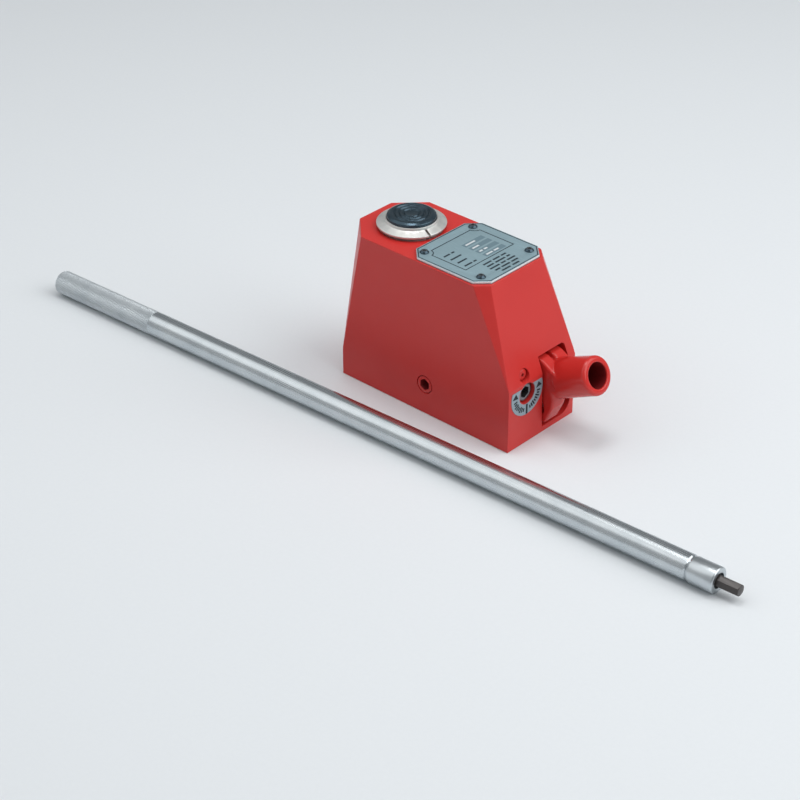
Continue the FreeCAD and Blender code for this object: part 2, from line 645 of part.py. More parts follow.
def pump_lever():
    """Cast lever: handle socket, two ears on the pivot pin, and a forked leg behind the plunger."""
    shoulder = in_socket(SOCKET_FLAT_DEPTH)
    shoulder.y = 0
    left_ear = strap(PIVOT, EYE_R, shoulder, EAR_FRONT_R, LEVER_LEFT_Y, EAR_SLOT_Y[0])
    right_ear = strap(PIVOT, EYE_R, shoulder, EAR_FRONT_R, EAR_SLOT_Y[1], EAR_RIGHT_Y)
    web = strap(PIVOT, EYE_R - EAR_SLOT_DEPTH, shoulder, EAR_FRONT_R, EAR_SLOT_Y[0] - 2, EAR_SLOT_Y[1] + 2)
    leg = prism_y(LEG_OUTLINE, LEVER_LEFT_Y, LEG_RIGHT_Y)
    castings = [rounded_sides(casting, CASTING_ROUND) for casting in (left_ear, right_ear, leg)]
    lever = socket_tube().multiFuse(castings + [web])
    pin_hole = rod_y(PIVOT_PIN_R + RUNNING_GAP, 0, HALF_WIDTH, PIVOT_X, PIVOT_Z)
    cutters = [socket_bore(), pin_hole, link_slot()]
    turns = [-LEVER_UP + (LEVER_UP + LEVER_DOWN) * step / 4 for step in range(5)]
    cutters += socket_flats() + [tang_room(turn) for turn in turns]
    for cutter in cutters:
        lever = lever.cut(cutter)
    return lever.removeSplitter()


def pivot_pin():
    return rod_y(PIVOT_PIN_R, PIVOT_PIN_Y[0], PIVOT_PIN_Y[1], PIVOT_X, PIVOT_Z)


def pump_plunger():
    """Round plunger with a flat, round-ended tang for the link pin."""
    shoulder_x = LINK_PIN_X - TANG_LENGTH
    profile = [(0, PLUNGER_INNER_X), (PLUNGER_R - 1, PLUNGER_INNER_X), (PLUNGER_R, PLUNGER_INNER_X + 1),
               (PLUNGER_R, shoulder_x), (0, shoulder_x)]
    bar = turned(profile, Vector(0, PLUNGER_Y, PLUNGER_Z), ALONG_X)
    low_y = PLUNGER_Y - TANG_HALF_WIDTH
    neck = Part.makeBox(TANG_LENGTH + 1, 2 * TANG_HALF_WIDTH, 2 * TANG_HALF_HEIGHT,
                        Vector(shoulder_x - 1, low_y, PLUNGER_Z - TANG_HALF_HEIGHT))
    neck = neck.common(rod_x(PLUNGER_R, shoulder_x - 1, LINK_PIN_X, PLUNGER_Y, PLUNGER_Z))
    eye = rod_y(TANG_HALF_HEIGHT, low_y, low_y + 2 * TANG_HALF_WIDTH, LINK_PIN_X, PLUNGER_Z)
    hole = rod_y(LINK_PIN_R, low_y, low_y + 2 * TANG_HALF_WIDTH, LINK_PIN_X, PLUNGER_Z)
    return bar.multiFuse([neck, eye]).cut(hole).removeSplitter()


def link_pin():
    return rod_y(LINK_PIN_R, LEVER_LEFT_Y + 0.5, LEG_RIGHT_Y - 0.5, LINK_PIN_X, PLUNGER_Z)


def pump_barrel():
    """Threaded sleeve for the plunger, with two spanner slots in its open end."""
    inner, outer = BARREL_X
    sleeve = tube_x(BARREL_R, PLUNGER_R + RUNNING_GAP, inner, outer, PLUNGER_Y, PLUNGER_Z)
    sleeve = sleeve.cut(rod_x(SEAL_R, SEAL_X, outer, PLUNGER_Y, PLUNGER_Z))
    depth, width = BARREL_SLOT
    slot = Part.makeBox(depth, 2 * BARREL_R, width,
                        Vector(outer - depth, PLUNGER_Y - BARREL_R, PLUNGER_Z - width / 2))
    return sleeve.cut(slot)


def plunger_seal():
    return tube_x(SEAL_R, PLUNGER_R + RUNNING_GAP / 2, SEAL_X, SEAL_X + SEAL_LENGTH, PLUNGER_Y, PLUNGER_Z)


def plunger_bush():
    end = BARREL_X[1] - BARREL_SLOT[0]
    return tube_x(SEAL_R, PLUNGER_R + RUNNING_GAP, SEAL_X + SEAL_LENGTH, end, PLUNGER_Y, PLUNGER_Z)


# Valves

def valve_plug():
    """Side plug with a hexagon socket, flush in its countersink."""
    step_y = PLUG_FACE_Y + PLUG_END
    profile = [(0, PLUG_SEAT_Y), (PLUG_R, PLUG_SEAT_Y), (PLUG_R, step_y), (PLUG_END_R, step_y),
               (PLUG_END_R, PLUG_FACE_Y), (0, PLUG_FACE_Y)]
    plug = turned(profile, Vector(GALLERY_X, 0, GALLERY_Z), ALONG_Y)
    socket_start = Vector(GALLERY_X, PLUG_FACE_Y - 1, GALLERY_Z)
    return plug.cut(hexagon(HEX_SOCKET_FLATS, socket_start, Vector(0, HEX_SOCKET_DEPTH + 1, 0)))


def plug_washer():
    return tube_y(PLUG_R, GALLERY_R, PLUG_SEAT_Y, PLUG_SEAT_Y + PLUG_WASHER, GALLERY_X, GALLERY_Z)


def ball_on_hole(hole_r, ball_r):
    """How far a ball's centre stands off a hole that it closes."""
    return math.sqrt(ball_r ** 2 - hole_r ** 2) + BALL_GAP


CHECK_BALL_LIFT = ball_on_hole(CHECK_HOLE_R, CHECK_BALL_R)
SPRING_HOLD = ball_on_hole(SPRING_R - SPRING_WIRE / 2, CHECK_BALL_R)
INLET_BALL_Z = INLET_LEDGE_Z + SPRING_LENGTH + SPRING_HOLD
DELIVERY_BALL_Z = DELIVERY_SEAT_Z + CHECK_BALL_LIFT


def valve_cap(foot_z, y, hole_r):
    """A slotted screw in the reservoir floor, drilled through where oil passes it."""
    head_z = RESERVOIR_FLOOR_Z + CAP_HEAD
    cap = rod_z(CHECK_BORE_R, foot_z, head_z, GALLERY_X, y)
    slot = Part.makeBox(2 * CHECK_BORE_R, CAP_SLOT, CAP_SLOT,
                        Vector(GALLERY_X - CHECK_BORE_R, y - CAP_SLOT / 2, head_z - CAP_SLOT))
    if hole_r:
        cap = cap.cut(rod_z(hole_r, foot_z, head_z, GALLERY_X, y))
    return cap.cut(slot)


def inlet_seat():
    return valve_cap(INLET_BALL_Z + CHECK_BALL_LIFT, INLET_Y, CHECK_HOLE_R)


def inlet_ball():
    return Part.makeSphere(CHECK_BALL_R, Vector(GALLERY_X, INLET_Y, INLET_BALL_Z))


def inlet_spring():
    return spring(INLET_LEDGE_Z, INLET_Y)


def delivery_ball():
    return Part.makeSphere(CHECK_BALL_R, Vector(GALLERY_X, DELIVERY_Y, DELIVERY_BALL_Z))


def delivery_spring():
    return spring(DELIVERY_BALL_Z + SPRING_HOLD, DELIVERY_Y)


def delivery_cap():
    return valve_cap(DELIVERY_BALL_Z + SPRING_HOLD + SPRING_LENGTH, DELIVERY_Y, 0)


def release_valve():
    """Screw spindle with a hexagon socket, a seal groove and a nose that holds the ball."""
    nose_x = RELEASE_SEAT_X + ball_on_hole(RELEASE_HOLE_R, RELEASE_BALL_R) + RELEASE_BALL_R + BALL_GAP
    groove, groove_r = RELEASE_GROOVE_X, RELEASE_GROOVE_R
    chamfer = TURNED_CHAMFER
    profile = [(0, nose_x), (RELEASE_NOSE_R, nose_x), (RELEASE_NOSE_R, RELEASE_STEM_X),
               (RELEASE_STEM_R, RELEASE_STEM_X), (RELEASE_STEM_R, groove[0]), (groove_r, groove[0]),
               (groove_r, groove[1]), (RELEASE_STEM_R, groove[1]), (RELEASE_STEM_R, RELEASE_HEAD_X),
               (RELEASE_HEAD_R, RELEASE_HEAD_X), (RELEASE_HEAD_R, RELEASE_FACE_X - chamfer),
               (RELEASE_HEAD_R - chamfer, RELEASE_FACE_X), (0, RELEASE_FACE_X)]
    spindle = turned(profile, Vector(0, RELEASE_Y, RELEASE_Z), ALONG_X)
    socket_start = Vector(RELEASE_FACE_X - HEX_SOCKET_DEPTH, RELEASE_Y, RELEASE_Z)
    return spindle.cut(hexagon(HEX_SOCKET_FLATS, socket_start, Vector(HEX_SOCKET_DEPTH + 1, 0, 0)))


def release_seal():
    outer = RELEASE_STEM_R + RUNNING_GAP / 2
    return tube_x(outer, RELEASE_GROOVE_R, RELEASE_GROOVE_X[0], RELEASE_GROOVE_X[1], RELEASE_Y, RELEASE_Z)


def release_ball():
    x = RELEASE_SEAT_X + ball_on_hole(RELEASE_HOLE_R, RELEASE_BALL_R)
    return Part.makeSphere(RELEASE_BALL_R, Vector(x, RELEASE_Y, RELEASE_Z))


def filler_screw():
    """Small domed socket screw in the recess above the release valve."""
    profile = [(0, FILLER_INNER_X), (FILLER_R, FILLER_INNER_X), (FILLER_R, FILLER_FACE_X, FILLER_DOME),
               (0, FILLER_FACE_X)]
    screw = turned(profile, Vector(0, FILLER_Y, FILLER_Z), ALONG_X)
    return screw.cut(hexagon(FILLER_FLATS, Vector(FILLER_FACE_X - 3, FILLER_Y, FILLER_Z), Vector(4, 0, 0)))


def valve_label():
    """Thin ring on the front face round the release valve, cut off level above it."""
    inner, outer = LABEL_R
    ring = tube_x(outer, inner, FRONT_X, FRONT_X + LABEL_THICKNESS, LABEL_Y, RELEASE_Z)
    above = Part.makeBox(2 * outer, 2 * outer, outer, Vector(FRONT_X - outer, LABEL_Y - outer, LABEL_TOP_Z))
    return ring.cut(above)


# Pump handle, drawn along X from its grip end and then laid down beside the block

def lay_down(shape):
    shape.rotate(Vector(0, 0, 0), ALONG_X, HANDLE_ROLL)
    shape.rotate(Vector(0, 0, 0), ALONG_Z, HANDLE_ANGLE)
    shape.translate(HANDLE_END)
    return shape


def handle_tube():
    end = HANDLE_TUBE_LENGTH
    profile = [(HANDLE_BORE_R, 0), (HANDLE_R - GRIP_CHAMFER, 0), (HANDLE_R, GRIP_CHAMFER),
               (HANDLE_R, end - HANDLE_GROOVE), (HANDLE_R - HANDLE_GROOVE, end), (HANDLE_BORE_R, end)]
    return lay_down(turned(profile, Vector(0, 0, 0), ALONG_X))


def handle_plug():
    """End plug with a spigot in the tube and a round well with a hexagon hole at its bottom."""
    start = HANDLE_TUBE_LENGTH
    end = HANDLE_LENGTH
    profile = [(0, start - HANDLE_SPIGOT), (HANDLE_BORE_R, start - HANDLE_SPIGOT), (HANDLE_BORE_R, start),
               (HANDLE_R - HANDLE_GROOVE, start), (HANDLE_R, start + HANDLE_BEVEL), (HANDLE_R, end, 1.4),
               (KEY_WELL_R, end), (KEY_WELL_R, end - KEY_WELL_DEPTH), (0, end - KEY_WELL_DEPTH)]
    plug = turned(profile, Vector(0, 0, 0), ALONG_X)
    hole = hexagon(HEX_KEY_FLATS, Vector(end - KEY_HELD, 0, 0), Vector(KEY_HELD, 0, 0))
    return lay_down(plug.cut(hole))


def hex_key():
    start = HANDLE_LENGTH - KEY_HELD
    tip = HANDLE_LENGTH + KEY_REACH
    corner_r = HEX_KEY_FLATS / math.sqrt(3)
    profile = [(0, start), (corner_r, start), (corner_r, tip - TURNED_CHAMFER),
               (corner_r - TURNED_CHAMFER, tip), (0, tip)]
    envelope = turned(profile, Vector(0, 0, 0), ALONG_X)
    bar = hexagon(HEX_KEY_FLATS, Vector(start, 0, 0), Vector(tip - start, 0, 0))
    return lay_down(bar.common(envelope))


NODES = {
    "body_block": body_block, "cylinder_liner": cylinder_liner, "liner_seal": liner_seal,
    "gland_nut": gland_nut, "guide_bush": guide_bush, "rod_wiper": rod_wiper, "ram": ram,
    "piston_seal": lambda: piston_ring(*PISTON_SEAL), "piston_guide": lambda: piston_ring(*PISTON_GUIDE),
    "saddle": saddle, "top_plate": top_plate, "plate_gasket": plate_gasket, "plate_screws": plate_screws,
    "pump_lever": pump_lever, "pivot_pin": pivot_pin, "pump_plunger": pump_plunger, "link_pin": link_pin,
    "pump_barrel": pump_barrel, "plunger_seal": plunger_seal, "plunger_bush": plunger_bush,
    "valve_plug": valve_plug, "plug_washer": plug_washer, "inlet_seat": inlet_seat,
    "inlet_ball": inlet_ball, "inlet_spring": inlet_spring, "delivery_ball": delivery_ball,
    "delivery_spring": delivery_spring, "delivery_cap": delivery_cap, "release_valve": release_valve,
    "release_seal": release_seal, "release_ball": release_ball, "filler_screw": filler_screw,
    "valve_label": valve_label,
    "handle_tube": handle_tube, "handle_plug": handle_plug, "hex_key": hex_key,
}

os.makedirs("parts", exist_ok=True)
for node, make in NODES.items():
    make().exportStep("parts/" + node + ".step")
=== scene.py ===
"""Looks of a compact hydraulic jack and its pump handle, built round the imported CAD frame."""

import json
import math

import bpy
from bpy.props import FloatProperty, PointerProperty, StringProperty
from mathutils import Matrix, Vector

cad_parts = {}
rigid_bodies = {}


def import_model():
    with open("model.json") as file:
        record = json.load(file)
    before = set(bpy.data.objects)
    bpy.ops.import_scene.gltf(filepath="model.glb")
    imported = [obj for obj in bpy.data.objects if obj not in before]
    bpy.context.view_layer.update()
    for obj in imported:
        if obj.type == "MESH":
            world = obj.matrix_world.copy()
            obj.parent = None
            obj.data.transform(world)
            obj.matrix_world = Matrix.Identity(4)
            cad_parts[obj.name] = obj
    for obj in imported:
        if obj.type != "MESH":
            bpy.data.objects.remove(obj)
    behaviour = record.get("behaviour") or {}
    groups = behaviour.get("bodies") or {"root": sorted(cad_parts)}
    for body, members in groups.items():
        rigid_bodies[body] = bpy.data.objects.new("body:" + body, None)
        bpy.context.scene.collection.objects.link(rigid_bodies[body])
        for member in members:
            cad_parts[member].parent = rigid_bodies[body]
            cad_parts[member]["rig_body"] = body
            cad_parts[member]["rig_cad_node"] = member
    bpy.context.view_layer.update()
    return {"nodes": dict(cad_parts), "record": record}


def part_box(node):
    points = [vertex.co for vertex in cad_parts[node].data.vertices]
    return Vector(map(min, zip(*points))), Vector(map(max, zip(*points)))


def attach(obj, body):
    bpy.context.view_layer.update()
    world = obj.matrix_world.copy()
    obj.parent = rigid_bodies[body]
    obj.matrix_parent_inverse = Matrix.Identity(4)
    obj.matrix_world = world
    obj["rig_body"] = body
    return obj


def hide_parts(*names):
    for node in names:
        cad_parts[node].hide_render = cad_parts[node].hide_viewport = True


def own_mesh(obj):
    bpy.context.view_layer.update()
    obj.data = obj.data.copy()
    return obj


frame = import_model()

bl_info = {
    "name": "Hydraulic jack",
    "version": (1, 0, 0),
    "blender": (4, 5, 0),
    "location": "View3D > Sidebar > Jack",
    "description": "Models and finishes a compact hydraulic jack round its CAD frame",
    "category": "Object",
}

MM = 0.001
FRONT = Vector((1, 0, 0))
LONG_SIDE = Vector((0, -1, 0))
UP = Vector((0, 0, 1))

# Vertices closer than these are one, and faces that differ by less than this turn are flat
MERGE_GAP = 0.002 * MM
SEAM_GAP = 0.005 * MM
FLAT_TURN = math.radians(0.3)

# Places and sizes from the frame
NODE_BODY = {node: body for body, nodes in frame["record"]["behaviour"]["bodies"].items() for node in nodes}
MOUNTS = {mount["name"]: mount for mount in frame["record"]["mounts"]}
SADDLE_LOW, SADDLE_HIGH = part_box("saddle")
SADDLE_RADIUS = (SADDLE_HIGH.x - SADDLE_LOW.x) / 2
RAM_AXIS = (SADDLE_LOW + SADDLE_HIGH) / 2
PLATE_LOW, PLATE_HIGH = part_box("top_plate")
PLATE_MIDDLE = (PLATE_LOW + PLATE_HIGH) / 2
LABEL_LOW, LABEL_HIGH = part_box("valve_label")
LABEL_RADIUS = (LABEL_HIGH.y - LABEL_LOW.y) / 2
LABEL_MIDDLE = Vector((LABEL_HIGH.x, (LABEL_LOW.y + LABEL_HIGH.y) / 2, LABEL_LOW.z + LABEL_RADIUS))
SCREWS_LOW, SCREWS_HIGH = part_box("plate_screws")
PLUG_LOW, PLUG_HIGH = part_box("valve_plug")
PLUG_AXIS = (PLUG_LOW + PLUG_HIGH) / 2
FILLER_LOW, FILLER_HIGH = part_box("filler_screw")
FILLER_AXIS = (FILLER_LOW + FILLER_HIGH) / 2
RELEASE_AXIS = Vector(MOUNTS["release_key_socket"]["pos_m"])
SOCKET_WAY = Vector(MOUNTS["handle_socket"]["axis"])
MOUNT_TO_MOUTH = 19 * MM
SOCKET_MOUTH = Vector(MOUNTS["handle_socket"]["pos_m"]) + SOCKET_WAY * MOUNT_TO_MOUTH
KEY_TIP = Vector(MOUNTS["key_tip"]["pos_m"])
HANDLE_WAY = Vector(MOUNTS["key_tip"]["axis"])
HANDLE_TURN = math.atan2(HANDLE_WAY.y, HANDLE_WAY.x)

# Radii within which a socket's faces are lined, mostly with painted shade, and how far below its mouth the
# lining starts
KEY_SOCKET = 4.4 * MM
FILLER_SOCKET = 1.35 * MM
SCREW_SOCKET = 1.9 * MM
LEVER_SOCKET = 10 * MM
LEVER_SHADE_DEPTH = 1.3 * MM
SOCKET_MARGIN = 0.3 * MM

# Lid screws: radius of a head, and the rise that takes the rim of its socket into the lining
SCREW_HEAD = 3.4 * MM
SCREW_RIM = 0.5 * MM

# Spanner slots of the gland, whose faces are painted in shade: turn from the block's length, half width, and
# drop from the saddle's top
SLOT_TURN = math.radians(-17)
SLOT_HALF_WIDTH = 0.95 * MM
SLOT_TOP = 4.5 * MM

# Faces of the lid plate whose normal rises less than this are its cut edges
PLATE_EDGE_RISE = 0.95

# Profiles of a bevelled corner, straight across or curving in, and the steps of the curve
STRAIGHT_CORNER = 0.5
HOLLOW_CORNER = 0.1
HOLLOW_STEPS = 10

# Print on the lid plate: a frame set out from its rear edge, and rows of dashes by their relative lengths
BORDER_INSET = 0.8 * MM
PLATE_CLIP = 9.2 * MM
FRAME_REAR = 9.6 * MM
FRAME_FRONT = 47 * MM
FRAME_HALF_WIDTH = 26.3 * MM
FRAME_CURVE = 5 * MM
HEADING_ROWS = ((4, 2), (6,), (5,), (5, 2))
FIGURE_ROWS = ((5,), (3,), (2, 2), (4, 3))
HEADING_START = 13.4 * MM
HEADING_PITCH = 6.5 * MM
HEADING_INDENT = 4 * MM
HEADING_UNIT = 1.5 * MM
FIGURE_UNIT = 1.6 * MM
FIGURE_INDENT = 1 * MM
ROW_SPARE = 2 * MM
FIELD_HEIGHT = 4.6 * MM
FIELD_OVERHANG = 1 * MM
FIELD_INSET = 6 * MM
NOTE_ROWS = ((5, 4, 3), (4, 6, 2), (6, 3, 5), (3, 5, 4), (4, 3))
NOTE_START = 4 * MM
NOTE_PITCH = 3.7 * MM
NOTE_HALF_LENGTH = 5 * MM
NOTE_HALF_UNIT = 0.6 * MM

# Print on the release label, set out from straight down
LABEL_BAND = 8.5 * MM
STRAIGHT_DOWN = -math.pi / 2
ARROW_TURN = math.radians(98)
ARROW_LENGTH = 5.8 * MM
ARROW_WIDTH = 7.2 * MM
TICK_COUNT = 8
TICK_START = math.radians(16)
TICK_STEP = math.radians(9)
TICK_LENGTH = 1.3 * MM
TICK_WIDTHS = (2.8 * MM, 3.7 * MM, 4.6 * MM)
DIVIDER_LENGTH = 1.9 * MM
DIVIDER_WIDTH = 0.94 * LABEL_BAND

# Handle: lead before the knurl, step behind it, broken edge of the tube, and a diamond's length to width
GRIP_LEAD = 1.2 * MM
GRIP_STEP = 0.3 * MM
TUBE_EDGE = 0.9 * MM
TUBE_STEPS = 128
DIAMOND_STRETCH = 1.15

# Each lamp's place and width in metres; its power is a property of the stage
LAMPS = {
    "key": ((1.4, 0.65, 1.5), 2.2),
    "top": ((-0.03, 0, 1.55), 0.5),
    "panel": ((-0.9, -0.6, 1.6), 1.8),
    "fill": ((-1.2, -1.6, 1.2), 2.6),
}
LAMP_AIM = Vector((0, 0, 0.06))
FLOOR_SIZE = 12


class JackColours(bpy.types.PropertyGroup):
    """Colours of the finishes, as sRGB hex values."""
    enamel: StringProperty(name="Enamel", description="Paint of the block and the lever", default="#CC322D")
    enamel_dark: StringProperty(name="Enamel, dark", description="Deep tone in the paint", default="#C22B28")
    plate: StringProperty(name="Lid plate", description="Etched aluminium of the lid", default="#97B2BB")
    field: StringProperty(name="Fields", description="Darker fields for stamped figures", default="#7B949E")
    ink: StringProperty(name="Ink", description="Dark lines of the plate and label", default="#182630")
    label: StringProperty(name="Label", description="Foil of the release label", default="#98ABB4")
    black: StringProperty(name="Black oxide", description="Blackened steel of the saddle", default="#374853")
    key: StringProperty(name="Key steel", description="Oiled, dark steel of the hex key", default="#453F3E")
    zinc: StringProperty(name="Zinc plate", description="Bright plating of the handle", default="#D3D8DA")
    steel: StringProperty(name="Steel", description="Bare turned and ground steel", default="#D3D4D1")
    floor: StringProperty(name="Floor", description="Pale studio floor", default="#DFE3E6")
    sky: StringProperty(name="Sky", description="Even light all round", default="#EEF2F5")


class JackSizes(bpy.types.PropertyGroup):
    """Sizes of the details that are added to the CAD shapes."""
    knurl_pitch: FloatProperty(name="Knurl pitch", description="Width of one knurl diamond round the grip",
                               default=1.6 * MM, unit="LENGTH")
    knurl_depth: FloatProperty(name="Knurl depth", description="Height of a knurl point",
                               default=0.4 * MM, unit="LENGTH")
    grip_length: FloatProperty(name="Grip", description="Length of the knurled grip",
                               default=104 * MM, unit="LENGTH")
    handle_length: FloatProperty(name="Handle", description="From the grip's end to the key's tip",
                                 default=636 * MM, unit="LENGTH")
    tube_length: FloatProperty(name="Tube", description="Length of the handle's tube",
                               default=598 * MM, unit="LENGTH")
    tube_radius: FloatProperty(name="Tube radius", description="Outer radius of the tube",
                               default=9.525 * MM, unit="LENGTH")
    tube_bore: FloatProperty(name="Tube bore", description="Inner radius of the tube",
                             default=7 * MM, unit="LENGTH")
    casting_grain: FloatProperty(name="Casting voxel", description="Voxel that softens the cast lever",
                                 default=0.5 * MM, unit="LENGTH")
    line_width: FloatProperty(name="Line width", description="Width of the plate's ruled lines",
                              default=0.75 * MM, unit="LENGTH")
    print_height: FloatProperty(name="Print height", description="Height of the plain dashes on the plate",
                                default=1.6 * MM, unit="LENGTH")
    line_height: FloatProperty(name="Line height", description="Height of an inked line over its plate",
                               default=0.06 * MM, unit="LENGTH")


class JackStage(bpy.types.PropertyGroup):
    """Camera and light."""
    azimuth: FloatProperty(name="Azimuth", description="Camera's turn from the block's long side",
                           default=math.radians(42.566), subtype="ANGLE")
    elevation: FloatProperty(name="Elevation", description="Camera's angle above the floor",
                             default=math.radians(32.35), subtype="ANGLE")
    distance: FloatProperty(name="Distance", description="From the camera to its target",
                            default=1.6215, unit="LENGTH")
    target_height: FloatProperty(name="Target height", description="Height that the camera is set out from",
                                 default=0.05832, unit="LENGTH")
    shift_right: FloatProperty(name="Target right", description="Target's place across the picture",
                               default=-0.04201, unit="LENGTH")
    shift_up: FloatProperty(name="Target up", description="Target's place up the picture",
                            default=-0.05481, unit="LENGTH")
    lens: FloatProperty(name="Lens", description="Focal length in millimetres", default=100.0)
    key_power: FloatProperty(name="Key light", description="Power of the soft light in front",
                             default=36.5, unit="POWER")
    top_power: FloatProperty(name="Top light", description="Power of the small light straight above",
                             default=5.6, unit="POWER")
    panel_power: FloatProperty(name="Panel", description="Power of the wide panel up on the left",
                               default=8.0, unit="POWER")
    fill_power: FloatProperty(name="Fill light", description="Power of the weak light on the long side",
                              default=4.5, unit="POWER")
    sky: FloatProperty(name="Sky", description="Strength of the even light all round", default=0.33)


# Scene helpers

def colours():
    return bpy.context.scene.jack_colours


def sizes():
    return bpy.context.scene.jack_sizes


def select_only(piece):
    """Leaves one piece selected and active, in object mode."""
    if bpy.context.mode != "OBJECT":
        bpy.ops.object.mode_set(mode="OBJECT")
    bpy.ops.object.select_all(action="DESELECT")
    piece.select_set(True)
    bpy.context.view_layer.objects.active = piece


def edit(piece, mode="VERT"):
    """Opens a piece in edit mode with all of it selected."""
    select_only(piece)
    bpy.ops.object.mode_set(mode="EDIT")
    bpy.ops.mesh.select_mode(type=mode)
    bpy.ops.mesh.select_all(action="SELECT")


def pick_vertices(piece, test):
    """Opens a piece in edit mode with only the vertices selected whose place passes a test."""
    edit(piece)
    bpy.ops.mesh.select_all(action="DESELECT")
    bpy.ops.object.mode_set(mode="OBJECT")
    for vertex in piece.data.vertices:
        vertex.select = test(vertex.co)
    bpy.ops.object.mode_set(mode="EDIT")


def new_piece(name):
    """Names the active piece, which a primitive or a join has just made."""
    piece = bpy.context.active_object
    piece.name = name
    piece.data.name = name
    return piece


def apply_place(piece):
    """Puts a piece's place, turn and scale into its mesh."""
    select_only(piece)
    bpy.ops.object.transform_apply(location=True, rotation=True, scale=True)


def apply_modifier(piece, kind, **settings):
    """Adds a modifier with these settings and applies it."""
    select_only(piece)
    modifier = piece.modifiers.new(kind.title(), kind)
    for name, value in settings.items():
        setattr(modifier, name, value)
    bpy.ops.object.modifier_apply(modifier=modifier.name)


def join(pieces, name):
    """Makes one piece of several."""
    select_only(pieces[0])
    for piece in pieces[1:]:
        piece.select_set(True)
    bpy.ops.object.join()
    return new_piece(name)


def smooth(piece, degrees):
    """Shades a piece smooth, apart from edges that turn by more than an angle."""
    select_only(piece)
    bpy.ops.object.shade_smooth_by_angle(angle=math.radians(degrees))


def seat(piece, node, material, *nodes):
    """Gives a piece its finish and a CAD node's body, and hides the CAD nodes that it stands for."""
    body = NODE_BODY[node]
    if material is not None:
        piece.data.materials.clear()
        piece.data.materials.append(material)
    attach(piece, body)
    if nodes:
        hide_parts(*nodes)
    return piece


def copy_node(node, name):
    """A merged copy of a CAD node's mesh, for rounding and smoothing."""
    bpy.ops.object.select_all(action="DESELECT")
    piece = frame["nodes"][node].copy()
    piece.data = piece.data.copy()
    piece.parent = None
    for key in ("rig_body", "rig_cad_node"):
        if key in piece:
            del piece[key]
    bpy.context.scene.collection.objects.link(piece)
    piece.name = name
    piece.data.name = name
    edit(piece)
    bpy.ops.mesh.remove_doubles(threshold=MERGE_GAP)
    bpy.ops.mesh.customdata_custom_splitnormals_clear()
    bpy.ops.mesh.dissolve_limited(angle_limit=FLAT_TURN)
    bpy.ops.object.mode_set(mode="OBJECT")
    return piece


def machined_copy(node, name, material, round_mm=0.15, sharp=30, steps=2):
    """A CAD node with its sharp edges slightly broken and its round faces shaded smooth."""
    piece = copy_node(node, name)
    apply_modifier(piece, "BEVEL", width=round_mm * MM, segments=steps, limit_method="ANGLE",
                   angle_limit=math.radians(sharp), use_clamp_overlap=True, harden_normals=False)
    smooth(piece, sharp)
    return seat(piece, node, material, node)


def line_faces(piece, lining, test):
    """Gives the faces that pass a test a finish of their own."""
    if lining.name not in piece.data.materials:
        piece.data.materials.append(lining)
    for face in piece.data.polygons:
        if test(face):
            face.material_index = piece.data.materials.find(lining.name)


def line_socket(piece, mouth, axis, radius, lining, margin=SOCKET_MARGIN):
    """Lines a socket, with painted shade or another finish: the faces near its axis and below its mouth."""
    def inside(face):
        off = face.center - mouth
        depth = -off.dot(axis)
        return depth > margin and (off + axis * depth).length < radius

    line_faces(piece, lining, inside)


def line_slots(gland, lining):
    """Paints shade into the gland's two spanner slots, which run across its axis outside the saddle."""
    along = Vector((math.cos(SLOT_TURN), math.sin(SLOT_TURN), 0))
    across = UP.cross(along)

    def inside(face):
        off = face.center - RAM_AXIS
        outside = abs(off.dot(along)) > SADDLE_RADIUS
        low = face.center.z < SADDLE_HIGH.z - SLOT_TOP
        return outside and low and abs(off.dot(across)) < SLOT_HALF_WIDTH

    line_faces(gland, lining, inside)


# Materials

# Most of a noise texture's values lie in this range.
NOISE_RANGE = {"From Min": 0.3, "From Max": 0.7}
# Real turning marks are about 0.1 mm apart; 0.6 mm is as fine as the picture shows.
RING_PITCH_MM = 0.6
# A wave texture multiplies a place by this and by its scale to get the angle of its wave.
WAVE_FACTOR = 20


def linear(hex_colour):
    """An sRGB hex value as linear RGBA."""
    channels = [int(hex_colour[i:i + 2], 16) / 255 for i in (1, 3, 5)]
    return [c / 12.92 if c <= 0.04045 else ((c + 0.055) / 1.055) ** 2.4 for c in channels] + [1.0]


def per_mm(size):
    """Texture scale, in turns per metre, for a pattern that repeats every so many millimetres."""
    return 1000.0 / size


def add_node(material, kind, inputs, **settings):
    """Adds a shader node and returns its outputs; an input given as an output is linked, any other is set."""
    tree = material.node_tree
    node = tree.nodes.new(kind)
    for name, value in settings.items():
        setattr(node, name, value)
    sockets = {socket.identifier: socket for socket in node.inputs}
    for name, value in inputs.items():
        if isinstance(value, bpy.types.NodeSocket):
            tree.links.new(value, sockets[name])
        else:
            sockets[name].default_value = value
    return {socket.identifier: socket for socket in node.outputs}


def new_material(name):
    """An empty material, with the Object coordinates that its patterns are laid on."""
    material = bpy.data.materials.new(name)
    material.use_nodes = True
    material.node_tree.nodes.clear()
    return material, add_node(material, "ShaderNodeTexCoord", {})["Object"]


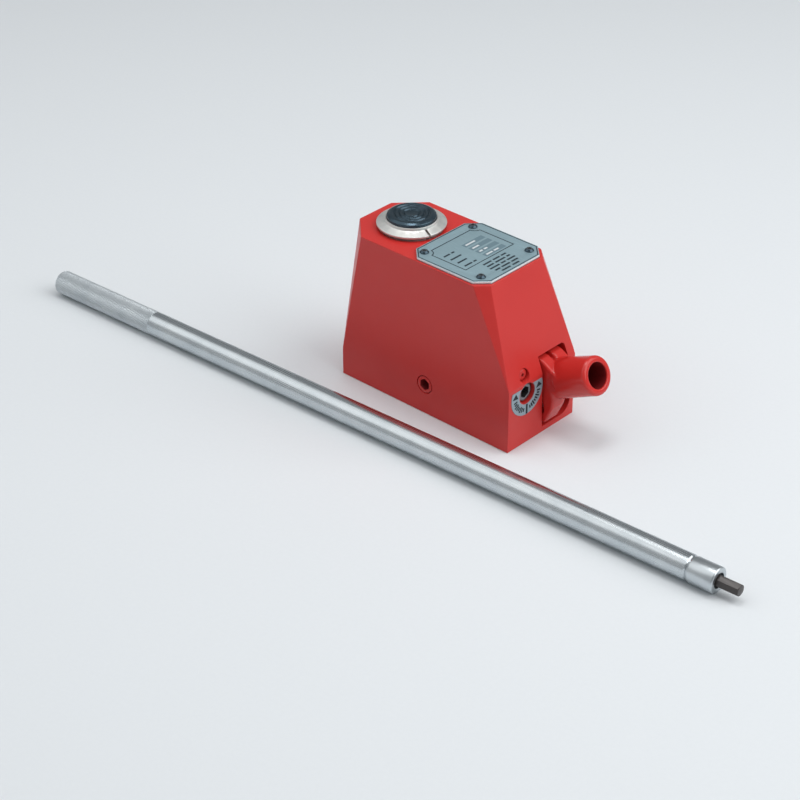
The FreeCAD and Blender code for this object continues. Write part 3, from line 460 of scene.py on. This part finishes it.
def surface(material, tones, roughness, metallic=0.0, relief=None, **inputs):
    """Ends a material.

    tones is a pattern and the two hex colours that it mixes, roughness a number or a pattern and its two
    ends, and relief a pattern, its height in millimetres and its strength.
    """
    pattern, first, second = tones
    colour = {"Factor_Float": pattern, "A_Color": linear(first), "B_Color": linear(second)}
    inputs["Base Color"] = add_node(material, "ShaderNodeMix", colour, data_type="RGBA")["Result_Color"]
    inputs["Metallic"] = metallic
    inputs["Roughness"] = roughness
    if isinstance(roughness, tuple):
        pattern, smoothest, roughest = roughness
        gloss = {**NOISE_RANGE, "Value": pattern, "To Min": smoothest, "To Max": roughest}
        inputs["Roughness"] = add_node(material, "ShaderNodeMapRange", gloss)["Result"]
    if relief:
        pattern, height_mm, strength = relief
        raised = {"Height": pattern, "Distance": height_mm * MM, "Strength": strength}
        inputs["Normal"] = add_node(material, "ShaderNodeBump", raised)["Normal"]
    shader = add_node(material, "ShaderNodeBsdfPrincipled", inputs)["BSDF"]
    add_node(material, "ShaderNodeOutputMaterial", {"Surface": shader})
    return material


def grained(name, first, second, grain_mm, roughness, metallic=0.0, detail=3.0, relief_mm=0.0, stretch=None):
    """Two close tones in one grain, which may vary the gloss and stand up from the surface too."""
    material, place = new_material(name)
    if stretch:
        place = add_node(material, "ShaderNodeMapping", {"Vector": place, "Scale": stretch})["Vector"]
    pattern = {"Vector": place, "Scale": per_mm(grain_mm), "Detail": detail}
    grain = add_node(material, "ShaderNodeTexNoise", pattern)["Fac"]
    gloss = (grain, *roughness) if isinstance(roughness, tuple) else roughness
    relief = (grain, relief_mm, 1.0) if relief_mm else None
    return surface(material, (grain, first, second), gloss, metallic, relief)


def enamel(name, peel_mm, peel_height_mm, roughness):
    """Sprayed red enamel, slightly uneven in tone and gloss, with the spray's soft orange peel."""
    material, place = new_material(name)
    layers = {"tone": (45, 3.0), "gloss": (8, 2.0), "peel": (peel_mm, 1.5)}
    grain = {}
    for layer, (size_mm, detail) in layers.items():
        pattern = {"Vector": place, "Scale": per_mm(size_mm), "Detail": detail}
        grain[layer] = add_node(material, "ShaderNodeTexNoise", pattern)["Fac"]
    return surface(material, (grain["tone"], colours().enamel, colours().enamel_dark),
                   (grain["gloss"], roughness - 0.04, roughness + 0.04),
                   relief=(grain["peel"], peel_height_mm, 1.0), IOR=1.45)


def block_enamel(name):
    """Enamel on the machined block: semi-gloss and nearly flat."""
    return enamel(name, peel_mm=1.6, peel_height_mm=0.012, roughness=0.38)


def casting_enamel(name):
    """Enamel on the cast lever: glossy, over the soft waves of the casting's skin."""
    return enamel(name, peel_mm=2.6, peel_height_mm=0.035, roughness=0.17)


def painted_shade_enamel(name):
    """Painted shade deep inside the red sockets: the enamel's red, darker and dull where the depth falls in
    shade.
    """
    return grained(name, "#84191C", "#701518", grain_mm=1.5, roughness=(0.45, 0.55), relief_mm=0.02)


def etched_aluminium(name):
    """Anodised, etched aluminium sheet: satin grey with a fine grain along the plate."""
    return grained(name, colours().plate, "#849CA4", grain_mm=0.5, roughness=(0.38, 0.5), metallic=0.3,
                   detail=4.0, relief_mm=0.01, stretch=(0.06, 1, 1))


def etched_field(name):
    """Etched field on the lid plate: the plate's grey, darker and matt."""
    return grained(name, colours().field, "#6E8791", grain_mm=0.5, roughness=0.5, metallic=0.4, detail=4.0)


def cut_aluminium_and_highlight(name):
    """Freshly cut aluminium of the stamped figures and the plate's edges, where the near white is also a
    painted highlight: nearly white, with a soft shine.
    """
    return grained(name, "#E9EDEF", "#DCE2E5", grain_mm=0.7, roughness=(0.31, 0.41), metallic=0.35,
                   relief_mm=0.02)


def printing_ink(name):
    """Baked ink in the etched lines: near black and matt."""
    return grained(name, colours().ink, "#22323B", grain_mm=0.8, roughness=0.55, detail=2.0)


def label_foil(name):
    """Self-adhesive aluminium foil: light grey, matt, with faint print grain."""
    return grained(name, colours().label, "#8DA0A9", grain_mm=0.6, roughness=(0.42, 0.55), metallic=0.3)


def screen_print_ink(name):
    """Screen-printed ink on the foil: black and flat."""
    return grained(name, "#0A131A", "#101B23", grain_mm=0.8, roughness=(0.65, 0.75), relief_mm=0.02)


def turned(name, first, second, cloud_mm, roughness, metallic, waver, relief_mm, strength):
    """Turned steel: clouded tones under fine rings round the ram's axis."""
    material, place = new_material(name)
    axis = {"Vector": place, "Location": (-RAM_AXIS.x, -RAM_AXIS.y, 0)}
    centred = add_node(material, "ShaderNodeMapping", axis)["Vector"]
    pitch = math.tau * per_mm(RING_PITCH_MM) / WAVE_FACTOR
    pattern = {"Vector": centred, "Scale": pitch, "Distortion": waver}
    rings = add_node(material, "ShaderNodeTexWave", pattern, wave_type="RINGS", rings_direction="Z")["Fac"]
    pattern = {"Vector": place, "Scale": per_mm(cloud_mm), "Detail": 3.0}
    cloud = add_node(material, "ShaderNodeTexNoise", pattern)["Fac"]
    relief = (rings, relief_mm, strength)
    return surface(material, (cloud, first, second), (cloud, *roughness), metallic, relief)


def turned_steel(name):
    """Bare turned steel of the gland ring: bright and satin."""
    return turned(name, colours().steel, "#DFDEDA", cloud_mm=5, roughness=(0.42, 0.54), metallic=0.85,
                  waver=0.6, relief_mm=0.015, strength=0.6)


def black_oxide(name):
    """Blackened turned steel of the saddle and lid screws: blue-black, with sharp glints."""
    return turned(name, colours().black, "#43545E", cloud_mm=6, roughness=(0.17, 0.25), metallic=0.75,
                  waver=0.4, relief_mm=0.02, strength=0.25)


def key_steel(name):
    """Oiled hardened steel of the hex key: brown-black and smooth, so that each flat shows its own tone."""
    return grained(name, colours().key, "#393534", grain_mm=0.6, roughness=(0.3, 0.4), metallic=0.15,
                   stretch=(0.05, 1, 1))


def ground_steel(name):
    """Ground steel of pins, valves and springs: even grey with faint scratches."""
    return grained(name, colours().steel, "#A9ACAD", grain_mm=0.7, roughness=(0.25, 0.38), metallic=1.0,
                   detail=4.0, stretch=(1, 1, 0.1))


def machined_steel(name):
    """Machined steel of the release valve and the screws' sockets: mid grey and smooth."""
    return grained(name, "#7E8488", "#8D9396", grain_mm=1.2, roughness=(0.29, 0.39), metallic=1.0,
                   relief_mm=0.02)


def painted_shade_steel(name):
    """Painted shade in the gland's slots: brownish grey and dull, where the slots are out of the light."""
    return grained(name, "#7A736E", "#86807A", grain_mm=0.9, roughness=(0.45, 0.55), relief_mm=0.02)


def painted_shadow_black(name):
    """Painted shadow deep in the release valve's socket: black, with a faint sheen."""
    return grained(name, "#0B0C0D", "#141617", grain_mm=0.9, roughness=(0.5, 0.6), relief_mm=0.02)


def zinc(name, roughness, metallic=1.0):
    """Bright zinc plating: silvery and clouded, with faint lines along the handle."""
    line_mm = 0.8
    line_height_mm = 0.006
    cloud_mm = 18
    material, place = new_material(name)
    turn = {"Vector": place, "Rotation": (0, 0, -HANDLE_TURN), "Scale": (0.01, 1, 1)}
    along = add_node(material, "ShaderNodeMapping", turn)["Vector"]
    pattern = {"Vector": along, "Scale": per_mm(line_mm), "Detail": 3.0}
    lines = add_node(material, "ShaderNodeTexNoise", pattern)["Fac"]
    pattern = {"Vector": place, "Scale": per_mm(cloud_mm), "Detail": 3.0}
    cloud = add_node(material, "ShaderNodeTexNoise", pattern)["Fac"]
    return surface(material, (cloud, colours().zinc, "#B4BCC1"), (lines, roughness - 0.05, roughness + 0.06),
                   metallic, (lines, line_height_mm, 1.0))


def drawn_zinc(name):
    """Zinc on drawn tube: mirror-like, streaked by its drawing lines."""
    return zinc(name, roughness=0.25)


def turned_zinc(name):
    """Zinc on the turned end plug: a little softer than the tube."""
    return zinc(name, roughness=0.32)


def knurled_zinc(name):
    """Zinc on the knurled grip: frosted, as each diamond glints by itself."""
    return zinc(name, roughness=0.42, metallic=0.75)


def bearing_bronze(name):
    """Cast bearing bronze: warm yellow-brown metal."""
    return grained(name, "#A8834F", "#8F6B3C", grain_mm=0.8, roughness=(0.3, 0.4), metallic=1.0,
                   relief_mm=0.02)


def annealed_copper(name):
    """Annealed copper of seals and washers: soft pink metal."""
    return grained(name, "#B87353", "#A0603F", grain_mm=1.0, roughness=(0.33, 0.43), metallic=1.0,
                   relief_mm=0.02)


def seal_rubber(name):
    """Moulded nitrile rubber: near black and matt."""
    return grained(name, "#17181A", "#222426", grain_mm=0.6, roughness=(0.55, 0.65), relief_mm=0.02)


def gasket_fibre(name):
    """Pressed gasket fibre: dry grey."""
    return grained(name, "#6E777B", "#7D878B", grain_mm=0.5, roughness=(0.7, 0.8), relief_mm=0.02)


def guide_resin(name):
    """Fabric-filled resin of the piston's guide ring: brown and dull."""
    return grained(name, "#7A5638", "#684628", grain_mm=0.7, roughness=(0.45, 0.55), relief_mm=0.02)


def studio_paper(name):
    """Matt studio paper: pale and even."""
    return grained(name, colours().floor, "#DCE0E3", grain_mm=3, roughness=0.9, detail=2.0)


FINISHES = {
    "red enamel": block_enamel,
    "red enamel on casting": casting_enamel,
    "overspray enamel": painted_shade_enamel,
    "etched aluminium": etched_aluminium,
    "etched field": etched_field,
    "cut aluminium": cut_aluminium_and_highlight,
    "printing ink": printing_ink,
    "label foil": label_foil,
    "screen-print ink": screen_print_ink,
    "turned steel": turned_steel,
    "black oxide steel": black_oxide,
    "key steel": key_steel,
    "ground steel": ground_steel,
    "machined steel": machined_steel,
    "milled steel": painted_shade_steel,
    "oiled steel": painted_shadow_black,
    "zinc plate": drawn_zinc,
    "zinc plate, turned": turned_zinc,
    "zinc plate, knurled": knurled_zinc,
    "bearing bronze": bearing_bronze,
    "annealed copper": annealed_copper,
    "seal rubber": seal_rubber,
    "gasket fibre": gasket_fibre,
    "guide resin": guide_resin,
    "studio paper": studio_paper,
}


def finish(name):
    """A finish by name, made the first time it is asked for."""
    if name in bpy.data.materials:
        return bpy.data.materials[name]
    return FINISHES[name](name)


def finish_node(node, name):
    """Gives a CAD node that is shown as it is one of the finishes."""
    frame["nodes"][node].material_slots[0].material = finish(name)


# Pieces

class JACK_OT_block(bpy.types.Operator):
    """Block, and the painted plug and screw in it"""
    bl_idname = "jack.block"
    bl_label = "Block"

    def execute(self, context):
        block = copy_node("body_block", "painted_block")
        smooth(block, degrees=50)
        apply_modifier(block, "WEIGHTED_NORMAL", mode="FACE_AREA_WITH_ANGLE", keep_sharp=True)
        seat(block, "body_block", finish("red enamel"), "body_block")
        plug = machined_copy("valve_plug", "side_plug", finish("red enamel"), round_mm=0.25)
        mouth = Vector((PLUG_AXIS.x, PLUG_LOW.y, PLUG_AXIS.z))
        # Painted shade: the faces in the plug's hex socket are a darker, duller red.
        line_socket(plug, mouth, LONG_SIDE, KEY_SOCKET, finish("overspray enamel"))
        screw = machined_copy("filler_screw", "front_screw", finish("red enamel"), round_mm=0.25)
        mouth = Vector((FILLER_HIGH.x, FILLER_AXIS.y, FILLER_AXIS.z))
        # Painted shade: the faces in the screw's socket are a darker, duller red.
        line_socket(screw, mouth, FRONT, FILLER_SOCKET, finish("overspray enamel"))
        return {"FINISHED"}


class JACK_OT_lever(bpy.types.Operator):
    """Cast pump lever with soft edges"""
    bl_idname = "jack.lever"
    bl_label = "Lever"

    def execute(self, context):
        lever = copy_node("pump_lever", "cast_lever")
        apply_modifier(lever, "REMESH", mode="VOXEL", voxel_size=sizes().casting_grain)
        apply_modifier(lever, "SMOOTH", factor=0.5, iterations=8)
        smooth(lever, degrees=60)
        seat(lever, "pump_lever", finish("red enamel on casting"), "pump_lever")
        # Painted shade in the handle socket's bore, starting a little inside its mouth.
        painted_shade_edge = SOCKET_MOUTH - SOCKET_WAY * LEVER_SHADE_DEPTH
        edit(lever)
        bpy.ops.mesh.bisect(plane_co=painted_shade_edge, plane_no=SOCKET_WAY)
        bpy.ops.object.mode_set(mode="OBJECT")
        line_socket(lever, painted_shade_edge, SOCKET_WAY, LEVER_SOCKET, finish("overspray enamel"), margin=0.0)
        return {"FINISHED"}


class JACK_OT_turned_parts(bpy.types.Operator):
    """Gland ring, saddle, release valve, screws, hex key and handle end with lightly broken edges"""
    bl_idname = "jack.turned_parts"
    bl_label = "Turned parts"

    def execute(self, context):
        gland = machined_copy("gland_nut", "gland_ring", finish("turned steel"), round_mm=0.2)
        # Painted shade on the floors and walls of the spanner slots.
        line_slots(gland, finish("milled steel"))
        machined_copy("saddle", "load_saddle", finish("black oxide steel"), round_mm=0.48, steps=4)
        spindle = machined_copy("release_valve", "release_spindle", finish("machined steel"))
        # Painted shadow: the release valve's hex socket is black inside.
        line_socket(spindle, RELEASE_AXIS, FRONT, KEY_SOCKET, finish("oiled steel"))
        screws = machined_copy("plate_screws", "lid_screws", finish("black oxide steel"), round_mm=0.12)
        for x in (SCREWS_LOW.x + SCREW_HEAD, SCREWS_HIGH.x - SCREW_HEAD):
            for y in (SCREWS_LOW.y + SCREW_HEAD, SCREWS_HIGH.y - SCREW_HEAD):
                mouth = Vector((x, y, SCREWS_HIGH.z + SCREW_RIM))
                line_socket(screws, mouth, UP, SCREW_SOCKET, finish("machined steel"))
        machined_copy("hex_key", "key_bar", finish("key steel"), round_mm=0.25, sharp=20)
        machined_copy("handle_plug", "handle_end", finish("zinc plate, turned"), round_mm=0.2)
        return {"FINISHED"}


def raise_line(piece):
    """Gives a flat line or mark its small height."""
    edit(piece, "FACE")
    bpy.ops.mesh.extrude_region_move(TRANSFORM_OT_translate={"value": (0, 0, sizes().line_height)})
    bpy.ops.mesh.select_all(action="SELECT")
    bpy.ops.mesh.normals_make_consistent(inside=False)
    bpy.ops.object.mode_set(mode="OBJECT")


def unit_bar():
    """A flat bar, one metre square and a line's height thick, that all straight marks are copies of."""
    bpy.ops.object.select_all(action="DESELECT")
    bpy.ops.mesh.primitive_plane_add(size=1)
    bar = new_piece("bar")
    raise_line(bar)
    return bar


def unit_arrow():
    """A flat triangle in a circle of one metre, a line's height thick, that the arrowheads are copies of."""
    bpy.ops.object.select_all(action="DESELECT")
    bpy.ops.mesh.primitive_circle_add(vertices=3, radius=0.5, fill_type="NGON")
    arrow = new_piece("arrow")
    raise_line(arrow)
    return arrow


def stamp(master, place, width, length):
    """A copy of a flat mark with its own mesh, stretched along its X and Y and set in its place."""
    mark = master.copy()
    mark.data = master.data.copy()
    bpy.context.scene.collection.objects.link(mark)
    mark.matrix_world = place @ Matrix.Diagonal((width, length, 1, 1))
    apply_place(mark)
    return mark


def ruled_outline(name, low, high, corner, profile, picked):
    """A line ruled round a rectangle of the plate, whose picked corners are cut off straight or curve in."""
    bpy.ops.object.select_all(action="DESELECT")
    middle = (low + high) / 2
    bpy.ops.mesh.primitive_plane_add(size=1, location=(middle.x, middle.y, PLATE_HIGH.z))
    outline = new_piece(name)
    outline.scale = (high.x - low.x, high.y - low.y, 1)
    apply_place(outline)
    pick_vertices(outline, picked)
    steps = 1 if profile == STRAIGHT_CORNER else HOLLOW_STEPS
    bpy.ops.mesh.bevel(offset=corner, offset_type="OFFSET", segments=steps, profile=profile,
                       affect="VERTICES")
    bpy.ops.mesh.select_all(action="SELECT")
    bpy.ops.mesh.select_mode(type="FACE")
    bpy.ops.mesh.inset(thickness=sizes().line_width, use_even_offset=True)
    bpy.ops.mesh.delete(type="FACE")
    raise_line(outline)
    return outline


def plate_bar(bar, x, height, start, end, z):
    """A bar across the plate at x, from a start to an end in y."""
    return stamp(bar, Matrix.Translation((x, (start + end) / 2, z)), height, end - start)


def dash_row(bar, x, start, length, z, dashes):
    """A row of plain dashes across the plate, of these relative lengths and one unit apart."""
    unit = length / (sum(dashes) + len(dashes) - 1)
    row = []
    for dash in dashes:
        row.append(plate_bar(bar, x, sizes().print_height, start, start + dash * unit, z))
        start += (dash + 1) * unit
    return row


class JACK_OT_plate(bpy.types.Operator):
    """Lid plate with a ruled frame, fields and plain dashes"""
    bl_idname = "jack.plate"
    bl_label = "Lid plate"

    def execute(self, context):
        lid = machined_copy("top_plate", "lid_plate", finish("etched aluminium"), round_mm=0.45)
        # The plate's cut edges are near white: bare aluminium, with a painted highlight along them too.
        line_faces(lid, finish("cut aluminium"), lambda face: face.normal.z < PLATE_EDGE_RISE)
        rim = Vector((BORDER_INSET, BORDER_INSET, 0))
        # The border keeps its distance from the clipped corners too.
        clip = PLATE_CLIP - BORDER_INSET * (2 - math.sqrt(2))
        border = ruled_outline("border", PLATE_LOW + rim, PLATE_HIGH - rim, clip, STRAIGHT_CORNER,
                               lambda place: True)
        low = Vector((PLATE_LOW.x + FRAME_REAR, PLATE_MIDDLE.y - FRAME_HALF_WIDTH, PLATE_HIGH.z))
        high = Vector((PLATE_LOW.x + FRAME_FRONT, PLATE_MIDDLE.y + FRAME_HALF_WIDTH, PLATE_HIGH.z))
        middle = (low + high) / 2
        inner = ruled_outline("frame", low, high, FRAME_CURVE, HOLLOW_CORNER,
                              lambda place: place.x < middle.x)
        printed = [border, inner]
        fields = []
        figures = []
        bar = unit_bar()
        z = PLATE_HIGH.z
        for row, (heading, figure) in enumerate(zip(HEADING_ROWS, FIGURE_ROWS)):
            x = low.x + HEADING_START + HEADING_PITCH * row
            length = ROW_SPARE + HEADING_UNIT * sum(heading)
            printed += dash_row(bar, x, low.y + HEADING_INDENT, length, z, heading)
            fields.append(plate_bar(bar, x, FIELD_HEIGHT, middle.y - FIELD_OVERHANG, high.y - FIELD_INSET, z))
            length = ROW_SPARE + FIGURE_UNIT * sum(figure)
            figures += dash_row(bar, x, middle.y + FIGURE_INDENT, length, z + sizes().line_height, figure)
        for row, note in enumerate(NOTE_ROWS):
            x = high.x + NOTE_START + NOTE_PITCH * row
            reach = NOTE_HALF_LENGTH + NOTE_HALF_UNIT * sum(note)
            printed += dash_row(bar, x, middle.y - reach, 2 * reach, z, note)
        bpy.data.objects.remove(bar)
        seat(join(printed, "plate_print"), "top_plate", finish("printing ink"))
        seat(join(fields, "plate_fields"), "top_plate", finish("etched field"))
        seat(join(figures, "plate_figures"), "top_plate", finish("cut aluminium"))
        return {"FINISHED"}


def label_place(angle):
    """The place of a mark on the label: its X runs outwards, its Y along the arc and its Z to the front."""
    outward = Vector((0, math.cos(angle), math.sin(angle)))
    ahead = Vector((0, -math.sin(angle), math.cos(angle)))
    place = Matrix((outward, ahead, FRONT)).transposed().to_4x4()
    place.translation = LABEL_MIDDLE + outward * (LABEL_RADIUS - LABEL_BAND / 2)
    return place


class JACK_OT_label(bpy.types.Operator):
    """Arc label with two arrowheads, a divider and plain ticks"""
    bl_idname = "jack.label"
    bl_label = "Release label"

    def execute(self, context):
        finish_node("valve_label", "label foil")
        bar = unit_bar()
        arrow = unit_arrow()
        marks = [stamp(bar, label_place(STRAIGHT_DOWN), DIVIDER_WIDTH, DIVIDER_LENGTH)]
        for side in (-1, 1):
            tip = label_place(STRAIGHT_DOWN + side * ARROW_TURN)
            marks.append(stamp(arrow, tip, ARROW_WIDTH, side * ARROW_LENGTH))
            for tick in range(TICK_COUNT):
                place = label_place(STRAIGHT_DOWN + side * (TICK_START + TICK_STEP * tick))
                marks.append(stamp(bar, place, TICK_WIDTHS[tick % len(TICK_WIDTHS)], TICK_LENGTH))
        bpy.data.objects.remove(bar)
        bpy.data.objects.remove(arrow)
        printed = join(marks, "label_print")
        edit(printed)
        bpy.ops.mesh.normals_make_consistent(inside=False)
        bpy.ops.object.mode_set(mode="OBJECT")
        seat(printed, "valve_label", finish("screen-print ink"))
        return {"FINISHED"}


def edge_along(name, length, radius, cuts=0):
    """A straight edge along X at a radius, cut into equal steps and left open in edit mode."""
    bpy.ops.object.select_all(action="DESELECT")
    bpy.ops.mesh.primitive_plane_add(size=length, location=(length / 2, radius - length / 2, 0))
    edge = new_piece(name)
    apply_place(edge)
    pick_vertices(edge, lambda place: place.y < radius - length / 2)
    bpy.ops.mesh.delete(type="VERT")
    bpy.ops.mesh.select_all(action="SELECT")
    if cuts:
        bpy.ops.mesh.subdivide(number_cuts=cuts)
    return edge


def spin_round(steps):
    """Spins the piece that is open in edit mode once round the X axis and closes the seam."""
    bpy.ops.mesh.select_all(action="SELECT")
    bpy.ops.mesh.spin(steps=steps, angle=math.tau, center=(0, 0, 0), axis=(1, 0, 0))
    bpy.ops.mesh.select_all(action="SELECT")
    bpy.ops.mesh.remove_doubles(threshold=SEAM_GAP)
    bpy.ops.mesh.normals_make_consistent(inside=False)


def knurled_grip(length):
    """An open sleeve of knurl: a fine grid, thinned to its diagonals, each diamond drawn to a point."""
    s = sizes()
    columns = 2 * round(math.tau * s.tube_radius / s.knurl_pitch)
    rows = 2 * round(length / (s.knurl_pitch * DIAMOND_STRETCH))
    grip = edge_along("grip", length, s.tube_radius - s.knurl_depth, rows - 1)
    spin_round(columns)
    bpy.ops.mesh.unsubdivide(iterations=1)
    bpy.ops.mesh.select_all(action="SELECT")
    bpy.ops.mesh.poke(offset=s.knurl_depth)
    bpy.ops.object.mode_set(mode="OBJECT")
    return grip


def turned_tube(profile):
    """A tube turned from a closed run of (x, radius) points."""
    (x0, r0), (x1, r1) = profile[:2]
    # The edge is as long as the first step of the profile, and its ends then move there.
    tube = edge_along("tube", math.dist((x0, r0), (x1, r1)), r0)
    bpy.ops.object.mode_set(mode="OBJECT")
    near, far = sorted(tube.data.vertices, key=lambda vertex: vertex.co.x)
    near.co = (x0, r0, 0)
    far.co = (x1, r1, 0)
    end = far.co.copy()
    pick_vertices(tube, lambda place: (place - end).length < MERGE_GAP)
    for (x0, r0), (x1, r1) in zip(profile[1:], profile[2:]):
        bpy.ops.mesh.extrude_region_move(TRANSFORM_OT_translate={"value": (x1 - x0, r1 - r0, 0)})
    spin_round(TUBE_STEPS)
    bpy.ops.object.mode_set(mode="OBJECT")
    return tube


class JACK_OT_handle(bpy.types.Operator):
    """Handle tube with a knurled grip"""
    bl_idname = "jack.handle"
    bl_label = "Handle"

    def execute(self, context):
        s = sizes()
        grip = knurled_grip(s.grip_length - GRIP_LEAD)
        grip.location.x = GRIP_LEAD
        apply_place(grip)
        grip.data.materials.append(finish("zinc plate, knurled"))
        root = s.tube_radius - s.knurl_depth
        grip_end = [(GRIP_LEAD, root), (0, s.tube_radius - GRIP_LEAD), (0, s.tube_bore)]
        front_end = [(s.tube_length, s.tube_bore), (s.tube_length, s.tube_radius - TUBE_EDGE),
                     (s.tube_length - TUBE_EDGE, s.tube_radius)]
        shoulder = [(s.grip_length + GRIP_STEP, s.tube_radius), (s.grip_length, root)]
        tube = turned_tube(grip_end + front_end + shoulder)
        smooth(tube, degrees=30)
        tube.data.materials.append(finish("zinc plate"))
        handle = join([tube, grip], "handle_shaft")
        start = KEY_TIP - HANDLE_WAY * s.handle_length
        handle.matrix_world = Matrix.Translation(start) @ Matrix.Rotation(HANDLE_TURN, 4, "Z")
        apply_place(handle)
        seat(handle, "handle_tube", None, "handle_tube")
        return {"FINISHED"}


def sprung_coil(node):
    """A valve spring, copied from its CAD node and shaded smooth, with a mesh of its own."""
    coil = copy_node(node, node.replace("spring", "coil"))
    smooth(coil, degrees=30)
    seat(coil, node, finish("ground steel"), node)
    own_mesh(coil)


class JACK_OT_inner_parts(bpy.types.Operator):
    """Finishes of the pieces inside the block and in its pocket, and the valve springs"""
    bl_idname = "jack.inner_parts"
    bl_label = "Inner parts"

    def execute(self, context):
        finishes = {
            "ground steel": ("cylinder_liner", "ram", "pump_plunger", "link_pin", "pump_barrel", "inlet_seat",
                             "delivery_cap", "inlet_ball", "delivery_ball", "release_ball"),
            "red enamel": ("pivot_pin",),
            "bearing bronze": ("guide_bush", "plunger_bush"),
            "annealed copper": ("liner_seal", "plug_washer"),
            "seal rubber": ("rod_wiper", "piston_seal", "plunger_seal", "release_seal"),
            "gasket fibre": ("plate_gasket",),
            "guide resin": ("piston_guide",),
        }
        for name, nodes in finishes.items():
            for node in nodes:
                finish_node(node, name)
        for joint in frame["record"]["behaviour"]["joints"]:
            for spring in joint.get("deforming_nodes", ()):
                sprung_coil(spring["node"])
        return {"FINISHED"}


# Stage

def view_axes(stage):
    """The camera's right, up and backward directions."""
    turn = stage.azimuth
    rise = stage.elevation
    right = Vector((math.cos(turn), math.sin(turn), 0))
    back = Vector((math.sin(turn) * math.cos(rise), -math.cos(turn) * math.cos(rise), math.sin(rise)))
    return right, back.cross(right), back


def add_camera(stage):
    """The camera, set out from its target above the middle of the floor."""
    right, up, back = view_axes(stage)
    target = Vector((0, 0, stage.target_height)) + right * stage.shift_right + up * stage.shift_up
    place = Matrix((right, up, back)).transposed().to_4x4()
    place.translation = target + back * stage.distance
    bpy.ops.object.camera_add()
    camera = bpy.context.active_object
    camera.matrix_world = place
    camera.data.lens = stage.lens
    camera.data.sensor_width = 36.0
    camera.data.clip_end = 50.0
    bpy.context.scene.camera = camera


def add_lamp(name, place, width, power):
    """A soft square lamp, turned to the jack."""
    bpy.ops.object.light_add(type="AREA", location=place)
    lamp = bpy.context.active_object
    lamp.name = name
    lamp.data.size = width
    lamp.data.energy = power
    lamp.rotation_euler = (LAMP_AIM - Vector(place)).to_track_quat("-Z", "Y").to_euler()


class JACK_OT_stage(bpy.types.Operator):
    """Floor, soft light and camera"""
    bl_idname = "jack.stage"
    bl_label = "Stage"

    def execute(self, context):
        stage = context.scene.jack_stage
        bpy.ops.object.select_all(action="DESELECT")
        bpy.ops.mesh.primitive_plane_add(size=FLOOR_SIZE)
        floor = new_piece("studio_floor")
        floor.data.materials.append(finish("studio paper"))
        world = bpy.data.worlds.new("studio sky")
        world.use_nodes = True
        sky = world.node_tree.nodes["Background"].inputs
        sky["Color"].default_value = linear(colours().sky)
        sky["Strength"].default_value = stage.sky
        context.scene.world = world
        for name, (place, width) in LAMPS.items():
            add_lamp(name, place, width, getattr(stage, name + "_power"))
        add_camera(stage)
        context.scene.view_settings.view_transform = "Standard"
        return {"FINISHED"}


OPERATORS = (JACK_OT_block, JACK_OT_lever, JACK_OT_turned_parts, JACK_OT_plate, JACK_OT_label, JACK_OT_handle,
             JACK_OT_inner_parts, JACK_OT_stage)


class JACK_PT_panel(bpy.types.Panel):
    """Lists the jack's pieces"""
    bl_idname = "JACK_PT_panel"
    bl_label = "Hydraulic jack"
    bl_space_type = "VIEW_3D"
    bl_region_type = "UI"
    bl_category = "Jack"

    def draw(self, context):
        for operator in OPERATORS:
            self.layout.operator(operator.bl_idname)
        for group in (context.scene.jack_colours, context.scene.jack_sizes, context.scene.jack_stage):
            for name in group.__annotations__:
                self.layout.prop(group, name)


GROUPS = {"jack_colours": JackColours, "jack_sizes": JackSizes, "jack_stage": JackStage}


def register():
    for name, group in GROUPS.items():
        bpy.utils.register_class(group)
        setattr(bpy.types.Scene, name, PointerProperty(type=group))
    for cls in OPERATORS + (JACK_PT_panel,):
        bpy.utils.register_class(cls)


def unregister():
    for cls in (JACK_PT_panel,) + OPERATORS[::-1]:
        bpy.utils.unregister_class(cls)
    for name, group in GROUPS.items():
        delattr(bpy.types.Scene, name)
        bpy.utils.unregister_class(group)


def main():
    register()
    bpy.ops.jack.block()
    bpy.ops.jack.lever()
    bpy.ops.jack.turned_parts()
    bpy.ops.jack.plate()
    bpy.ops.jack.label()
    bpy.ops.jack.handle()
    bpy.ops.jack.inner_parts()
    bpy.ops.jack.stage()


if __name__ == "__main__":
    main()
